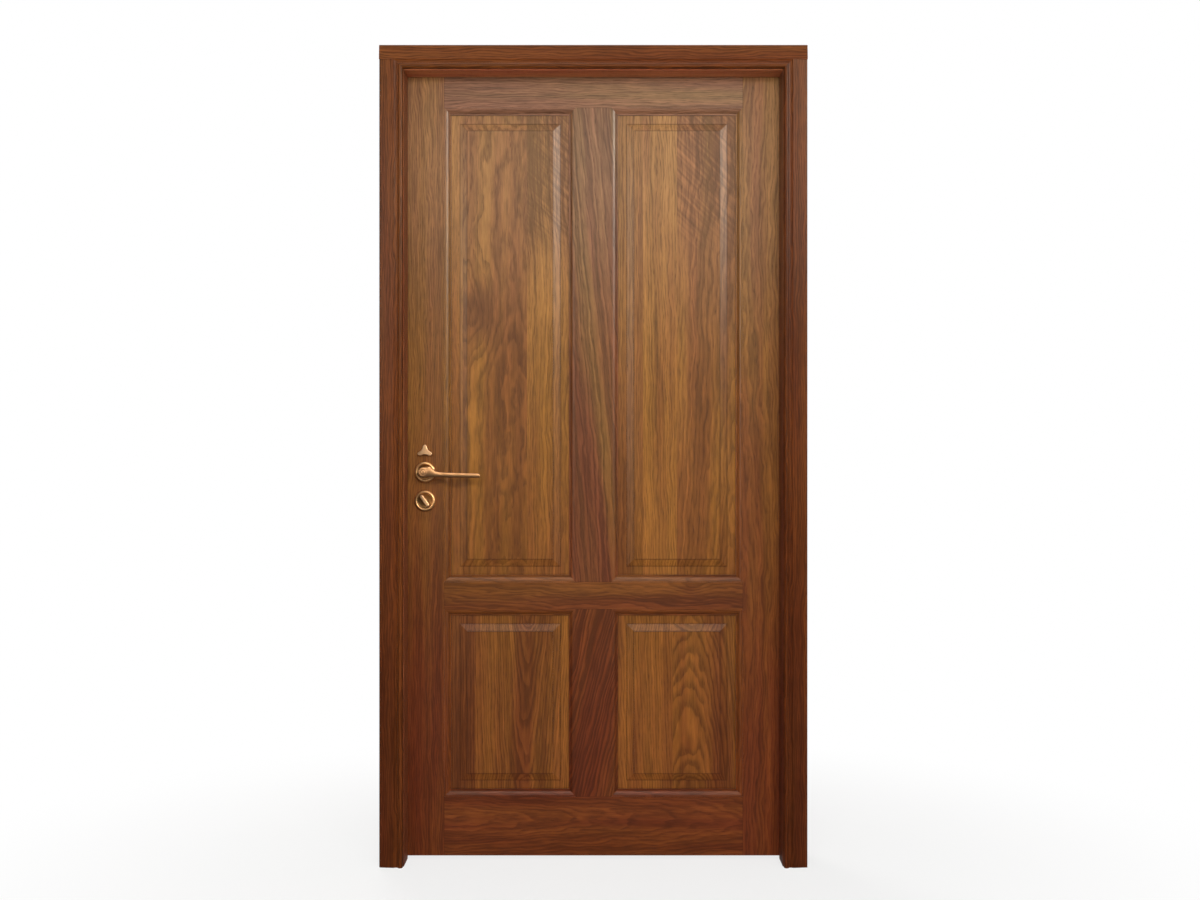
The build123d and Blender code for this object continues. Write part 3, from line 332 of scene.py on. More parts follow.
@dataclass(frozen=True)
class StainAndPaintedLight:
    """What the stain and the lacquer make of the oak, in colours as a screen shows them, with painted light
    by height.

    Attributes:
        golden: Plain wood near the floor, at half height and at the head: darker and redder low down as
            painted falloff of light, paler at the head as painted sheen.
        rosy: Wood where the stain turns red, near the floor, at half height and at the head, with the same
            painted falloff of light and painted sheen.
        pore: Stain gathered in the pores.
        gloss: Specular level of the lacquer.
    """

    golden: tuple[Tint, Tint, Tint]
    rosy: tuple[Tint, Tint, Tint]
    pore: Tint
    gloss: float = 0.14


@dataclass(frozen=True)
class Stave:
    """One strip of a board and the place in the log that it was sawn from.

    Attributes:
        heart: Where the log's heart runs: across the board and through it, in metres.
        start: Where across the board the strip starts, in metres.
        lean: How far the heart drifts through the board for each metre of length.
        slope: How far the grain runs across the board for each metre of length.
        tone: How light the strip is, with 1 as the stain's own level; on the frame's stops it carries painted
            bounce light.
        blush: How far the strip leans towards red, from -0.5 to 0.5.
        top_tone: How much lighter it is near its top.
        curl: How much slanting figure it shows near its top.
        flame: How strongly the spring wood of each year shows.
        ring: Width of one year's growth, in metres.
    """

    heart: Pair
    start: float = -10.0
    lean: float = 0.0
    slope: float = 0.0
    tone: float = 1.0
    blush: float = 0.0
    top_tone: float = 0.0
    curl: float = 0.0
    flame: float = 0.27
    ring: float = 0.0055


@dataclass(frozen=True)
class Knot:
    """An eye in the wood that the grain bends round.

    Attributes:
        along: Its place along the grain, in metres.
        across: Its place across the grain, in metres.
        reach: How far from it the grain bends, in metres.
        bulge: How far it pushes the rings aside, in metres.
        shade: How much darker its middle is.
        stretch: How many times as long as wide it is.
        core: Share of its reach that is darker.
    """

    along: float
    across: float
    reach: float
    bulge: float
    shade: float
    stretch: float = 2.0
    core: float = 0.6


@dataclass(frozen=True)
class Shoulders:
    """The hairline joints at the two ends of a rail or a muntin.

    Attributes:
        low: Where its sight starts along the grain, in metres.
        high: Where its sight ends along the grain, in metres.
        line: Reach of the dark line from each joint, in metres.
        shade: How dark the line is.
    """

    low: float
    high: float
    line: float = 0.0022
    shade: float = 0.45

    def lines(self, sheet: NodeSheet, along: Socket) -> Socket:
        """How dark each place is.

        Args:
            sheet: The board's material.
            along: The place along the grain.

        Returns:
            A share from 0 to 1.
        """
        middle, half = (self.low + self.high) / 2, (self.high - self.low) / 2
        past = sheet.add(sheet.math("ABSOLUTE", sheet.add(along, -middle)), -half)
        return sheet.band(sheet.math("ABSOLUTE", past), 0.0, self.line, self.shade, 0.0)


@dataclass(frozen=True)
class PanelCreaseShade:
    """Painted shade along the creases of a raised panel, darkened towards the pore colour where shade falls.

    Attributes:
        entry: How far the panel's edge stands in its grooves, in metres.
        border: Width of the flat border, in metres.
        bevel: Width of the sloping margin, in metres.
        line: Reach of the painted shade to each side of a line, in metres.
        depth_share: How dark the painted shade on the lines of the bevel is.
        edge_share: How dark the painted shade at the panel's frame is, against the others.
    """

    entry: float = 0.009
    border: float = 0.022
    bevel: float = 0.018
    line: float = 0.0026
    depth_share: float = 0.5
    edge_share: float = 0.6

    def lines(self, sheet: NodeSheet, node: str) -> Socket:
        """How much painted shade each place of one panel gets.

        Args:
            sheet: The panel's material.
            node: Name of the panel's CAD node.

        Returns:
            A share from 0 to 1.
        """
        low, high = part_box(node)
        middle, half = (low + high) / 2, (high - low) / 2
        x, _, z = sheet.axes()
        inset = self.entry + self.border
        past_x = sheet.add(sheet.math("ABSOLUTE", sheet.add(x, -middle.x)), inset - half.x)
        past_z = sheet.add(sheet.math("ABSOLUTE", sheet.add(z, -middle.z)), inset - half.z)
        past = sheet.math("MAXIMUM", past_x, past_z)
        total: Feed = 0.0
        for place, dark in ((0.0, 1.0), (-self.bevel, 1.0), (self.border, self.edge_share)):
            near = sheet.math("ABSOLUTE", sheet.add(past, -place))
            total = sheet.add(total, sheet.band(near, 0.0, self.line, dark * self.depth_share, 0.0))
        return total


@dataclass(frozen=True)
class OakBoard:
    """A stained and lacquered oak board, cut from one log or glued up from staves.

    Attributes:
        node: Name of the board's CAD node.
        run: Which way its grain runs.
        stain: Its stain.
        staves: Its strips, from the first across the board to the last.
        seed: Shift that gives the board a log of its own.
        relief: Painted shade along the creases, on a raised panel.
        shoulders: Hairline joints at its ends, on a rail or a muntin.
        knots: Its eyes.
        curl_rise: Heights between which slanting figure sets in, in metres.
        waver: How far the rings waver to each side, in metres.
    """

    node: str
    run: Run
    stain: StainAndPaintedLight
    staves: tuple[Stave, ...]
    seed: float
    relief: PanelCreaseShade | None = None
    shoulders: Shoulders | None = None
    knots: tuple[Knot, ...] = ()
    curl_rise: Pair = (1.48, 1.66)
    waver: float = 0.011


# Noises in the log. A reach moves the heart, or makes the wood lighter and darker.
DRIFT_ACROSS = Figure((0.9, 4.0, 4.0), 0.0, 1.0, 0.035)
DRIFT_DEPTH = Figure((0.9, 4.0, 4.0), 31.0, 1.0, 0.035)
WAVER = Figure((9.0, 30.0, 30.0), 57.0)
SWELL = Figure((70.0, 1.0, 1.0), 5.0)
STRIPES = Figure((95.0, 1.0, 60.0), 7.0, reach=0.46)
STREAKS = Figure((0.8, 42.0, 42.0), 11.0, 3.0, 0.26)
CLOUD = Figure((2.2, 8.0, 8.0), 17.0, reach=0.24)
FIBRE = Figure((14.0, 110.0, 110.0), 3.0, 3.0, 0.46)
HAIR = Figure((28.0, 420.0, 420.0), 13.0, 1.0, 0.30)
PORES = Figure((60.0, 1300.0, 1300.0), 9.0, 0.0)
CURL = Figure((90.0, 8.0, 5.0), 23.0, 1.0, 1.0)
FLUSH = Figure((1.3, 20.0, 20.0), 29.0)

# Rings: distance between the strips' logs, how slowly rings change along them, years of swelling.
LOG_STEP = 7.0
RING_CHANGE = 0.01
SWELL_YEARS = 2.2
# Spring wood: where in a year it sets in and fades. Pores: where they start, and their share outside it.
SPRING_SETS_IN = (0.0, 0.16)
SPRING_FADES = (0.2, 0.8, 1.0, 0.0)
PORE_CUT = (0.55, 0.72)
SUMMER_PORES = 0.3
# Stain: darkest level and how softly it is reached, heights of the painted falloff of light (darker, redder
# low) and of the painted sheen (paler high), its red, its share in pores.
DARKEST = (0.56, 0.3)
PAINTED_FALLOFF_HEIGHTS = (0.15, 1.35)
PAINTED_SHEEN_HEIGHTS = (1.2, 1.85)
RED_TURN = (0.3, 0.7)
PORE_SHARE = 0.5
# Surface: shares of the relief, its depth in metres and its strength, roughness of the lacquer.
SPRING_RELIEF = -0.3
FIBRE_RELIEF = 0.35
PORE_RELIEF = -0.6
GRAIN_RELIEF = (0.0003, 0.2)
LACQUER_ROUGHNESS = (0.2, 0.8, 0.32, 0.40)
PORE_ROUGHNESS = 0.15


class OakSheet(FinishSheet):
    """A board's material, which finds the place in the log that each point was sawn from."""

    def __init__(self, board: OakBoard) -> None:
        """Set out the board's grain.

        Args:
            board: The board.
        """
        super().__init__(f"oak_{board.node}")
        self.board = board
        x, self.through, self.height = self.axes()
        upright = board.run is Run.UPRIGHT
        self.along, self.straight = (self.height, x) if upright else (x, self.height)
        self.steps = [self.math("GREATER_THAN", self.straight, stave.start) for stave in board.staves[1:]]
        self.log = self._by_stave([LOG_STEP * index for index in range(len(board.staves))])
        self.across = self.math("MULTIPLY_ADD", self.along, self._pick("slope"), self.straight)
        self.grain = self.point(self.along, self.across, self.add(self.through, self.log))

    def _by_stave(self, values: list[float]) -> Feed:
        """Choose the value of the strip that a place lies on, from one for each strip."""
        result: Feed = values[0]
        for step, before, after in zip(self.steps, values, values[1:]):
            if after != before:
                result = self.math("MULTIPLY_ADD", step, after - before, result)
        return result

    def _pick(self, name: str) -> Feed:
        """Choose one of the strips' values by its name."""
        return self._by_stave([getattr(stave, name) for stave in self.board.staves])

    def _figure(self, figure: Figure) -> Socket:
        """One of the noises along the board's grain."""
        return self.noise(figure, self.grain, self.board.seed)

    def _radius(self) -> tuple[Socket, Feed]:
        """Find each place in the rings, which bend round the knots.

        Returns:
            The distance from the log's heart, in metres, and how much darker the knots are.
        """
        hearts = zip(*(stave.heart for stave in self.board.staves))
        heart_across, heart_depth = (self._by_stave(list(places)) for places in hearts)
        heart_line = self.math("MULTIPLY_ADD", self.along, self._pick("lean"), heart_depth)
        offsets = (
            self.add(self.math("SUBTRACT", place, heart), self.centred(self._figure(drift), drift.reach))
            for place, heart, drift in (
                (self.across, heart_across, DRIFT_ACROSS),
                (self.through, heart_line, DRIFT_DEPTH),
            )
        )
        waver = self.centred(self._figure(WAVER), self.board.waver)
        radius = self.add(self.length(self.point(*offsets, 0.0)), waver)
        eyes: Feed = 0.0
        for knot in self.board.knots:
            far = self.times(self.add(self.along, -knot.along), 1 / knot.stretch)
            near = self.length(self.point(far, self.add(self.straight, -knot.across), 0.0))
            radius = self.add(radius, self.band(near, 0.0, knot.reach, knot.bulge, 0.0))
            eyes = self.add(eyes, self.band(near, 0.0, knot.reach * knot.core, knot.shade, 0.0))
        return radius, eyes

    def _spring(self, radius: Socket, ring: Socket) -> Socket:
        """Share of spring wood, for a distance from the heart and a place in the rings."""
        years = self.times(radius, self._by_stave([1 / stave.ring for stave in self.board.staves]))
        swell = self.noise(SWELL, ring, self.board.seed)
        year = self.math("FRACT", self.math("MULTIPLY_ADD", swell, SWELL_YEARS, years))
        return self.times(self.band(year, *SPRING_SETS_IN), self.band(year, *SPRING_FADES))

    def _level(self, patterns: dict[Figure, Socket], spring: Socket, eyes: Feed) -> Socket:
        """How light each place is by its patterns, spring wood and eyes, with 1 as the stain's own level."""
        level = self._pick("tone")
        for figure, pattern in patterns.items():
            level = self.add(level, self.centred(pattern, figure.reach))
        rise = self.band(self.height, *self.board.curl_rise)
        slant = self.point(self.add(self.straight, self.along), self.along, self.through)
        curl = self.times(self.centred(self.noise(CURL, slant, self.board.seed), CURL.reach), rise)
        for pattern, name in ((curl, "curl"), (rise, "top_tone"), (self.times(spring, -1.0), "flame")):
            level = self.math("MULTIPLY_ADD", pattern, self._pick(name), level)
        return self.math("SMOOTH_MAX", self.math("SUBTRACT", level, eyes), *DARKEST)

    def _colour(self, level: Socket, pores: Socket, eyes: Feed) -> Socket:
        """Stain the wood by its level, its pores and the eyes of its knots, with painted falloff of light low
        down and painted sheen near the head.
        """
        board, pore = self.board, display(*self.board.stain.pore)
        # The colours step with height: darker and redder near the floor as painted falloff of light, paler
        # near the head as painted sheen.
        painted_falloff, painted_sheen = self.band(self.height, *PAINTED_FALLOFF_HEIGHTS), self.band(self.height, *PAINTED_SHEEN_HEIGHTS)
        golden, rosy = (
            self.mix(painted_sheen, self.mix(painted_falloff, display(*low), display(*middle)), display(*high))
            for low, middle, high in (board.stain.golden, board.stain.rosy)
        )
        flush = self.add(self.add(self._figure(FLUSH), self._pick("blush")), eyes)
        wood = self.shade(self.mix(self.band(flush, *RED_TURN), golden, rosy), level)
        wood = self.mix(self.times(pores, PORE_SHARE), wood, pore)
        if board.relief:
            # Painted shade: the panel's creases are darkened towards the pore colour.
            wood = self.mix(board.relief.lines(self, board.node), wood, pore)
        if board.shoulders:
            wood = self.mix(board.shoulders.lines(self, self.along), wood, pore)
        return wood

    def build(self) -> Material:
        """Build the wood from rings round the heart of its log.

        Returns:
            The finished material.
        """
        radius, eyes = self._radius()
        ring = self.point(radius, self.log, self.times(self.along, RING_CHANGE))
        spring = self._spring(radius, ring)
        patterns = {STRIPES: self.noise(STRIPES, ring, self.board.seed)}
        patterns |= {figure: self._figure(figure) for figure in (STREAKS, CLOUD, FIBRE, HAIR)}
        pores = self.times(
            self.band(self._figure(PORES), *PORE_CUT), self.band(spring, 0.0, 1.0, SUMMER_PORES, 1.0)
        )
        relief = self.math("MULTIPLY_ADD", spring, SPRING_RELIEF, self.times(patterns[FIBRE], FIBRE_RELIEF))
        self.bump(self.math("MULTIPLY_ADD", pores, PORE_RELIEF, relief), *GRAIN_RELIEF)
        lacquer = self.band(patterns[CLOUD], *LACQUER_ROUGHNESS)
        self.set(
            base_color=self._colour(self._level(patterns, spring, eyes), pores, eyes),
            roughness=self.math("MULTIPLY_ADD", pores, PORE_ROUGHNESS, lacquer),
            specular_ior_level=self.board.stain.gloss,
        )
        return self.material


@dataclass(frozen=True)
class DishPatina:
    """Where a round rose has darkened, in the dish inside its rim.

    Attributes:
        centre: The rose's axis: across the door and up it, in metres.
        radii: Where the dark fades, from full to none, in metres.
        tint: Colour of the darkened metal.
        depth: How dark it is.
    """

    centre: Pair
    radii: Pair
    tint: Colour
    depth: float = 0.85

    def share(self, sheet: NodeSheet) -> Socket:
        """How dark each place is.

        Args:
            sheet: The rose's material.

        Returns:
            A share from 0 to 1.
        """
        x, _, z = sheet.axes()
        out = sheet.point(sheet.add(x, -self.centre[0]), sheet.add(z, -self.centre[1]), 0.0)
        return sheet.band(sheet.length(out), *self.radii, self.depth, 0.0)


@dataclass(frozen=True)
class PlainFinish:
    """A finish of two colours with fine relief: brass, unless it is told otherwise.

    Attributes:
        name: The material's name.
        face: Its first colour.
        other: Its second colour: dulled metal, plating or bloom.
        patina: Where it has darkened, on a rose.
        cloud: Noise that tells the colours apart.
        share: Steps from that noise to the share of the second colour, or none for the noise itself.
        lines: Noise of the relief.
        relief: Depth of the relief, in metres, and its strength.
        roughness: Steps from the first noise to the roughness.
        metallic: 1 for a metal.
        gloss: Specular level.
    """

    name: str
    face: Colour
    other: Colour
    patina: DishPatina | None = None
    cloud: Figure = Figure((60.0, 60.0, 60.0), 4.0, 3.0)
    share: Steps | None = (0.45, 0.75, 0.0, 1.0)
    lines: Figure = Figure((900.0, 900.0, 160.0), 8.0, 1.0)
    relief: Pair = (0.00004, 0.12)
    roughness: Steps = (0.3, 0.8, 0.42, 0.52)
    metallic: float = 1.0
    gloss: float = 0.5

    def material(self) -> Material:
        """Build the finish.

        Returns:
            The finished material.
        """
        sheet = FinishSheet(self.name)
        cloud = sheet.noise(self.cloud, sheet.place)
        share = sheet.band(cloud, *self.share) if self.share else cloud
        colour = sheet.mix(share, self.face, self.other)
        if self.patina:
            colour = sheet.mix(self.patina.share(sheet), colour, self.patina.tint)
        sheet.bump(sheet.noise(self.lines, sheet.place), *self.relief)
        sheet.set(
            base_color=colour,
            metallic=self.metallic,
            roughness=sheet.band(cloud, *self.roughness),
            specular_ior_level=self.gloss,
        )
        return sheet.material


BRIGHT_BRASS = display(187, 150, 115)
DULL_BRASS = display(162, 125, 88)
LEVER_BRASS = display(142, 107, 76)
WORN_BRASS = display(126, 94, 65)
RIM_BRASS = display(178, 138, 96)
DARK_BRASS = display(92, 64, 34)
DRAWN_LINES = Figure((60.0, 400.0, 900.0), 2.0)
FINISHES = {
    "brass": PlainFinish("brass", BRIGHT_BRASS, DULL_BRASS),
    "steel": PlainFinish(
        "steel", display(150, 150, 154), display(190, 190, 192),
        cloud=DRAWN_LINES, share=None, lines=DRAWN_LINES,
        relief=(0.00005, 0.2), roughness=(0.2, 0.8, 0.28, 0.45),
    ),
    "seal_rubber": PlainFinish(
        "seal_rubber", display(52, 34, 26), display(84, 64, 52),
        cloud=Figure((40.0, 40.0, 12.0), 6.0, 3.0), share=(0.4, 0.9, 0.0, 0.5),
        lines=Figure((1500.0, 1500.0, 1500.0), 1.0, 1.0), relief=(0.00008, 0.3),
        roughness=(0.2, 0.8, 0.62, 0.8), metallic=0.0, gloss=0.3,
    ),
}
# Colours near the floor, at half height and at the head: the low ones darker and redder as painted falloff of
# light, the high ones paler as painted sheen.
LEAF_STAIN_AND_PAINTED_LIGHT = StainAndPaintedLight(
    golden=((124, 64, 24), (134, 88, 34), (142, 101, 58)),
    rosy=((105, 46, 20), (122, 71, 32), (132, 88, 56)),
    pore=(58, 28, 12),
)
PANEL_STAIN_AND_PAINTED_LIGHT = StainAndPaintedLight(
    golden=((138, 82, 30), (144, 96, 36), (152, 109, 62)),
    rosy=((112, 58, 24), (130, 79, 34), (140, 95, 60)),
    pore=(62, 30, 12),
)
RAIL_STAIN_AND_PAINTED_LIGHT = StainAndPaintedLight(
    golden=((118, 62, 26), (126, 88, 40), (136, 103, 68)),
    rosy=((104, 46, 24), (124, 71, 40), (134, 92, 68)),
    pore=(58, 28, 12),
)
# The stops' stain is lighter and more golden than the casings', as painted bounce light in the shaded reveals
# and soffit.
STOP_STAIN_AND_PAINTED_LIGHT = StainAndPaintedLight(
    golden=((108, 60, 36), (116, 70, 42), (116, 70, 42)),
    rosy=((96, 46, 30), (106, 56, 36), (106, 56, 36)),
    pore=(50, 22, 10),
    gloss=0.045,
)
FRAME_STAIN_AND_PAINTED_LIGHT = StainAndPaintedLight(
    golden=((102, 52, 22), (112, 60, 22), (114, 64, 28)),
    rosy=((88, 40, 18), (98, 46, 17), (102, 52, 24)),
    pore=(50, 22, 10),
    gloss=0.045,
)


@dataclass
class DoorLeaf:
    """The leaf: stiles, rails, muntins and raised panels.

    Attributes:
        sticking: Width of the moulded edge of its members, in metres.
    """

    sticking: float = 0.017

    def boards(self) -> list[OakBoard]:
        """Choose the log and the cut of each board.

        Returns:
            The boards.
        """
        # relief is the painted shade in the panels' creases.
        up, level, relief = Run.UPRIGHT, Run.LEVEL, PanelCreaseShade()
        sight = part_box("lock_stile")[1].x - self.sticking
        top, lock, bottom = (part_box(f"{name}_rail") for name in ("top", "lock", "bottom"))
        rail = Shoulders(sight, -sight)
        upper = Shoulders(lock[1].z - self.sticking, top[0].z + self.sticking)
        lower = Shoulders(bottom[1].z - self.sticking, lock[0].z + self.sticking)
        return [
            OakBoard("lock_stile", up, LEAF_STAIN_AND_PAINTED_LIGHT, (Stave((-0.72, 0.10), top_tone=0.08),), seed=1.0),
            OakBoard("hinge_stile", up, LEAF_STAIN_AND_PAINTED_LIGHT, (Stave((0.30, 0.16), tone=1.07),), seed=14.0),
            OakBoard(
                "top_rail", level, RAIL_STAIN_AND_PAINTED_LIGHT, (Stave((2.25, 0.12), tone=0.98),), seed=27.0, shoulders=rail
            ),
            OakBoard(
                "lock_rail", level, LEAF_STAIN_AND_PAINTED_LIGHT,
                (Stave((0.60, 0.09), lean=0.03, tone=0.88, flame=0.3, ring=0.006),),
                seed=41.0, shoulders=rail,
                knots=(Knot(along=0.243, across=0.680, reach=0.035, bulge=0.010, shade=0.12),),
            ),
            OakBoard(
                "bottom_rail", level, LEAF_STAIN_AND_PAINTED_LIGHT,
                (Stave((0.09, 0.10), lean=0.05, tone=0.9, flame=0.25, ring=0.006),),
                seed=55.0, shoulders=rail,
            ),
            OakBoard(
                "upper_muntin", up, RAIL_STAIN_AND_PAINTED_LIGHT,
                (Stave((-0.35, 0.13), slope=0.10, tone=0.99, blush=0.06, flame=0.4, ring=0.013),),
                seed=68.0, shoulders=upper,
            ),
            OakBoard(
                "lower_muntin", up, LEAF_STAIN_AND_PAINTED_LIGHT,
                (Stave((0.24, 0.10), slope=-0.22, lean=0.06, tone=0.96, blush=0.14, flame=0.42, ring=0.009),),
                seed=83.0, shoulders=lower,
            ),
            OakBoard(
                "upper_left_panel", up, PANEL_STAIN_AND_PAINTED_LIGHT,
                (
                    Stave((-0.48, 0.12), tone=1.12, blush=-0.06, flame=0.14, ring=0.008),
                    Stave((-0.20, 0.13), start=-0.331, lean=0.03, flame=0.26, ring=0.008),
                    Stave((0.10, 0.14), start=-0.168, tone=1.08, top_tone=-0.33, curl=0.55, ring=0.008),
                ),
                seed=96.0, relief=relief,
                knots=(
                    Knot(along=1.38, across=-0.286, reach=0.1, bulge=0.03, shade=0.3),
                    Knot(along=1.43, across=-0.105, reach=0.16, bulge=0.012, shade=-0.14),
                ),
            ),
            OakBoard(
                "upper_right_panel", up, PANEL_STAIN_AND_PAINTED_LIGHT,
                (
                    Stave((-0.22, 0.12), tone=0.98, flame=0.26, ring=0.008),
                    Stave((0.52, 0.10), start=0.125, tone=1.17, blush=-0.06, ring=0.007),
                    Stave(
                        (0.36, 0.12), 0.211, lean=0.02, blush=0.06, top_tone=-0.14, curl=0.55, ring=0.008
                    ),
                ),
                seed=110.0, relief=relief,
            ),
            OakBoard(
                "lower_left_panel", up, PANEL_STAIN_AND_PAINTED_LIGHT,
                (
                    Stave((-0.46, 0.10), tone=0.92, blush=0.12, flame=0.3, ring=0.006),
                    Stave((-0.17, 0.10), start=-0.30, lean=-0.09, flame=0.36, ring=0.006),
                ),
                seed=125.0, relief=relief, waver=0.006,
            ),
            OakBoard(
                "lower_right_panel", up, PANEL_STAIN_AND_PAINTED_LIGHT,
                (
                    Stave((0.02, 0.10), lean=0.03, tone=1.04, blush=-0.08, flame=0.3, ring=0.006),
                    Stave((0.25, 0.09), start=0.20, lean=0.1, flame=0.34, ring=0.006),
                ),
                seed=139.0, relief=relief, waver=0.006,
                knots=(Knot(along=0.284, across=0.243, reach=0.03, bulge=0.006, shade=0.14),),
            ),
        ]


# Upright boards of the frame with the place of their heart across the door, level ones with its height, in
# metres, and how much lighter the stops are painted, as painted bounce light in their shaded reveals and
# soffit.
UPRIGHTS = {
    "lock_lining": -0.70,
    "hinge_lining": 0.72,
    "lock_stop": -0.30,
    "hinge_stop": 0.28,
    "front_casing_left": -0.82,
    "front_casing_right": 0.80,
    "rear_casing_left": -0.44,
    "rear_casing_right": 0.42,
}
HEADS = {"head_lining": 2.25, "head_stop": 1.80, "front_casing_head": 2.30, "rear_casing_head": 1.94}
STOP_PAINTED_LIGHT_TONES = {"lock_stop": 1.8, "hinge_stop": 1.15, "head_stop": 2.85}


@dataclass
class DoorFrame:
    """The lining, its stops and the casings on both sides of the wall.

    Attributes:
        heart_depth: Where the hearts run through the boards, in metres.
        flame: How strongly the spring wood shows.
        seeds: The seed before the first board's, and the step to each board's own.
    """

    heart_depth: float = 0.02
    flame: float = 0.42
    seeds: Pair = (160.0, 13.0)

    def boards(self) -> list[OakBoard]:
        """Choose the log of each board.

        Returns:
            The boards.
        """
        boards = []
        seed, step = self.seeds
        for run, hearts in ((Run.UPRIGHT, UPRIGHTS), (Run.LEVEL, HEADS)):
            for name, heart in hearts.items():
                seed += step
                # The stops get painted bounce light: a lighter tone and a lighter stain than the casings.
                stave = Stave((heart, self.heart_depth), tone=STOP_PAINTED_LIGHT_TONES.get(name, 1.0), flame=self.flame)
                stain = STOP_STAIN_AND_PAINTED_LIGHT if name in STOP_PAINTED_LIGHT_TONES else FRAME_STAIN_AND_PAINTED_LIGHT
                boards.append(OakBoard(name, run, stain, (stave,), seed))
        return boards


class Facing(Enum):
    """Which axis a drawn-out form runs along, with the turn that sets a circle square to it."""

    ACROSS = (0.0, math.pi / 2, 0.0)
    THROUGH = (math.pi / 2, 0.0, 0.0)

    def stretch(self, wide: float, high: float) -> Triple:
        """Scale a section in its own plane."""
        return (1.0, wide, high) if self is Facing.ACROSS else (wide, 1.0, high)


@dataclass(frozen=True)
class Section:
    """One oval section of a drawn-out form.

    Attributes:
        centre: Its middle, in metres.
        wide: Half its width, in metres.
        high: Half its height, in metres.
    """

    centre: Vector
    wide: float
    high: float


def draw_out(name: str, facing: Facing, sections: list[Section], sides: int) -> Piece:
    """Draw a circle out through a row of oval sections and close its ends.

    Args:
        name: The new object's name.
        facing: The axis that the form runs along.
        sections: The sections, from one end to the other.
        sides: How many sides the circle has.

    Returns:
        The closed form, with its place in its mesh.
    """
    first = sections[0]
    bpy.ops.object.select_all(action="DESELECT")
    bpy.ops.mesh.primitive_circle_add(
        vertices=sides, radius=1.0, location=first.centre, rotation=facing.value
    )
    form = bpy.context.object
    form.name = name
    bpy.ops.object.transform_apply(location=True, rotation=True, scale=True)
    bpy.ops.object.mode_set(mode="EDIT")
    bpy.ops.mesh.select_all(action="SELECT")
    bpy.ops.transform.resize(value=facing.stretch(first.wide, first.high), center_override=first.centre)
    for last, section in zip(sections, sections[1:]):
        bpy.ops.mesh.extrude_region_move(TRANSFORM_OT_translate={"value": section.centre - last.centre})
        bpy.ops.transform.resize(
            value=facing.stretch(section.wide / last.wide, section.high / last.high),
            center_override=section.centre,
        )
    bpy.ops.mesh.select_all(action="SELECT")
    bpy.ops.mesh.fill_holes(sides=0)
    bpy.ops.mesh.select_all(action="SELECT")
    bpy.ops.mesh.normals_make_consistent(inside=False)
    bpy.ops.object.mode_set(mode="OBJECT")
    return form


def join(name: str, forms: list[Piece]) -> Piece:
    """Join several forms into one object.

    Args:
        name: Name of the joined object.
        forms: The forms.

    Returns:
        The joined object.
    """
    bpy.ops.object.select_all(action="DESELECT")
    for form in forms:
        form.select_set(True)
    bpy.context.view_layer.objects.active = forms[0]
    bpy.ops.object.join()
    forms[0].name = name
    return forms[0]


def smooth_over(piece: Piece, sharp: float) -> None:
    """Shade a piece smooth, apart from its sharp edges.

    Args:
        piece: The piece.
        sharp: Angle from which an edge stays sharp, in degrees.
    """
    bpy.ops.object.select_all(action="DESELECT")
    piece.select_set(True)
    bpy.context.view_layer.objects.active = piece
    bpy.ops.object.shade_smooth_by_angle(angle=math.radians(sharp))


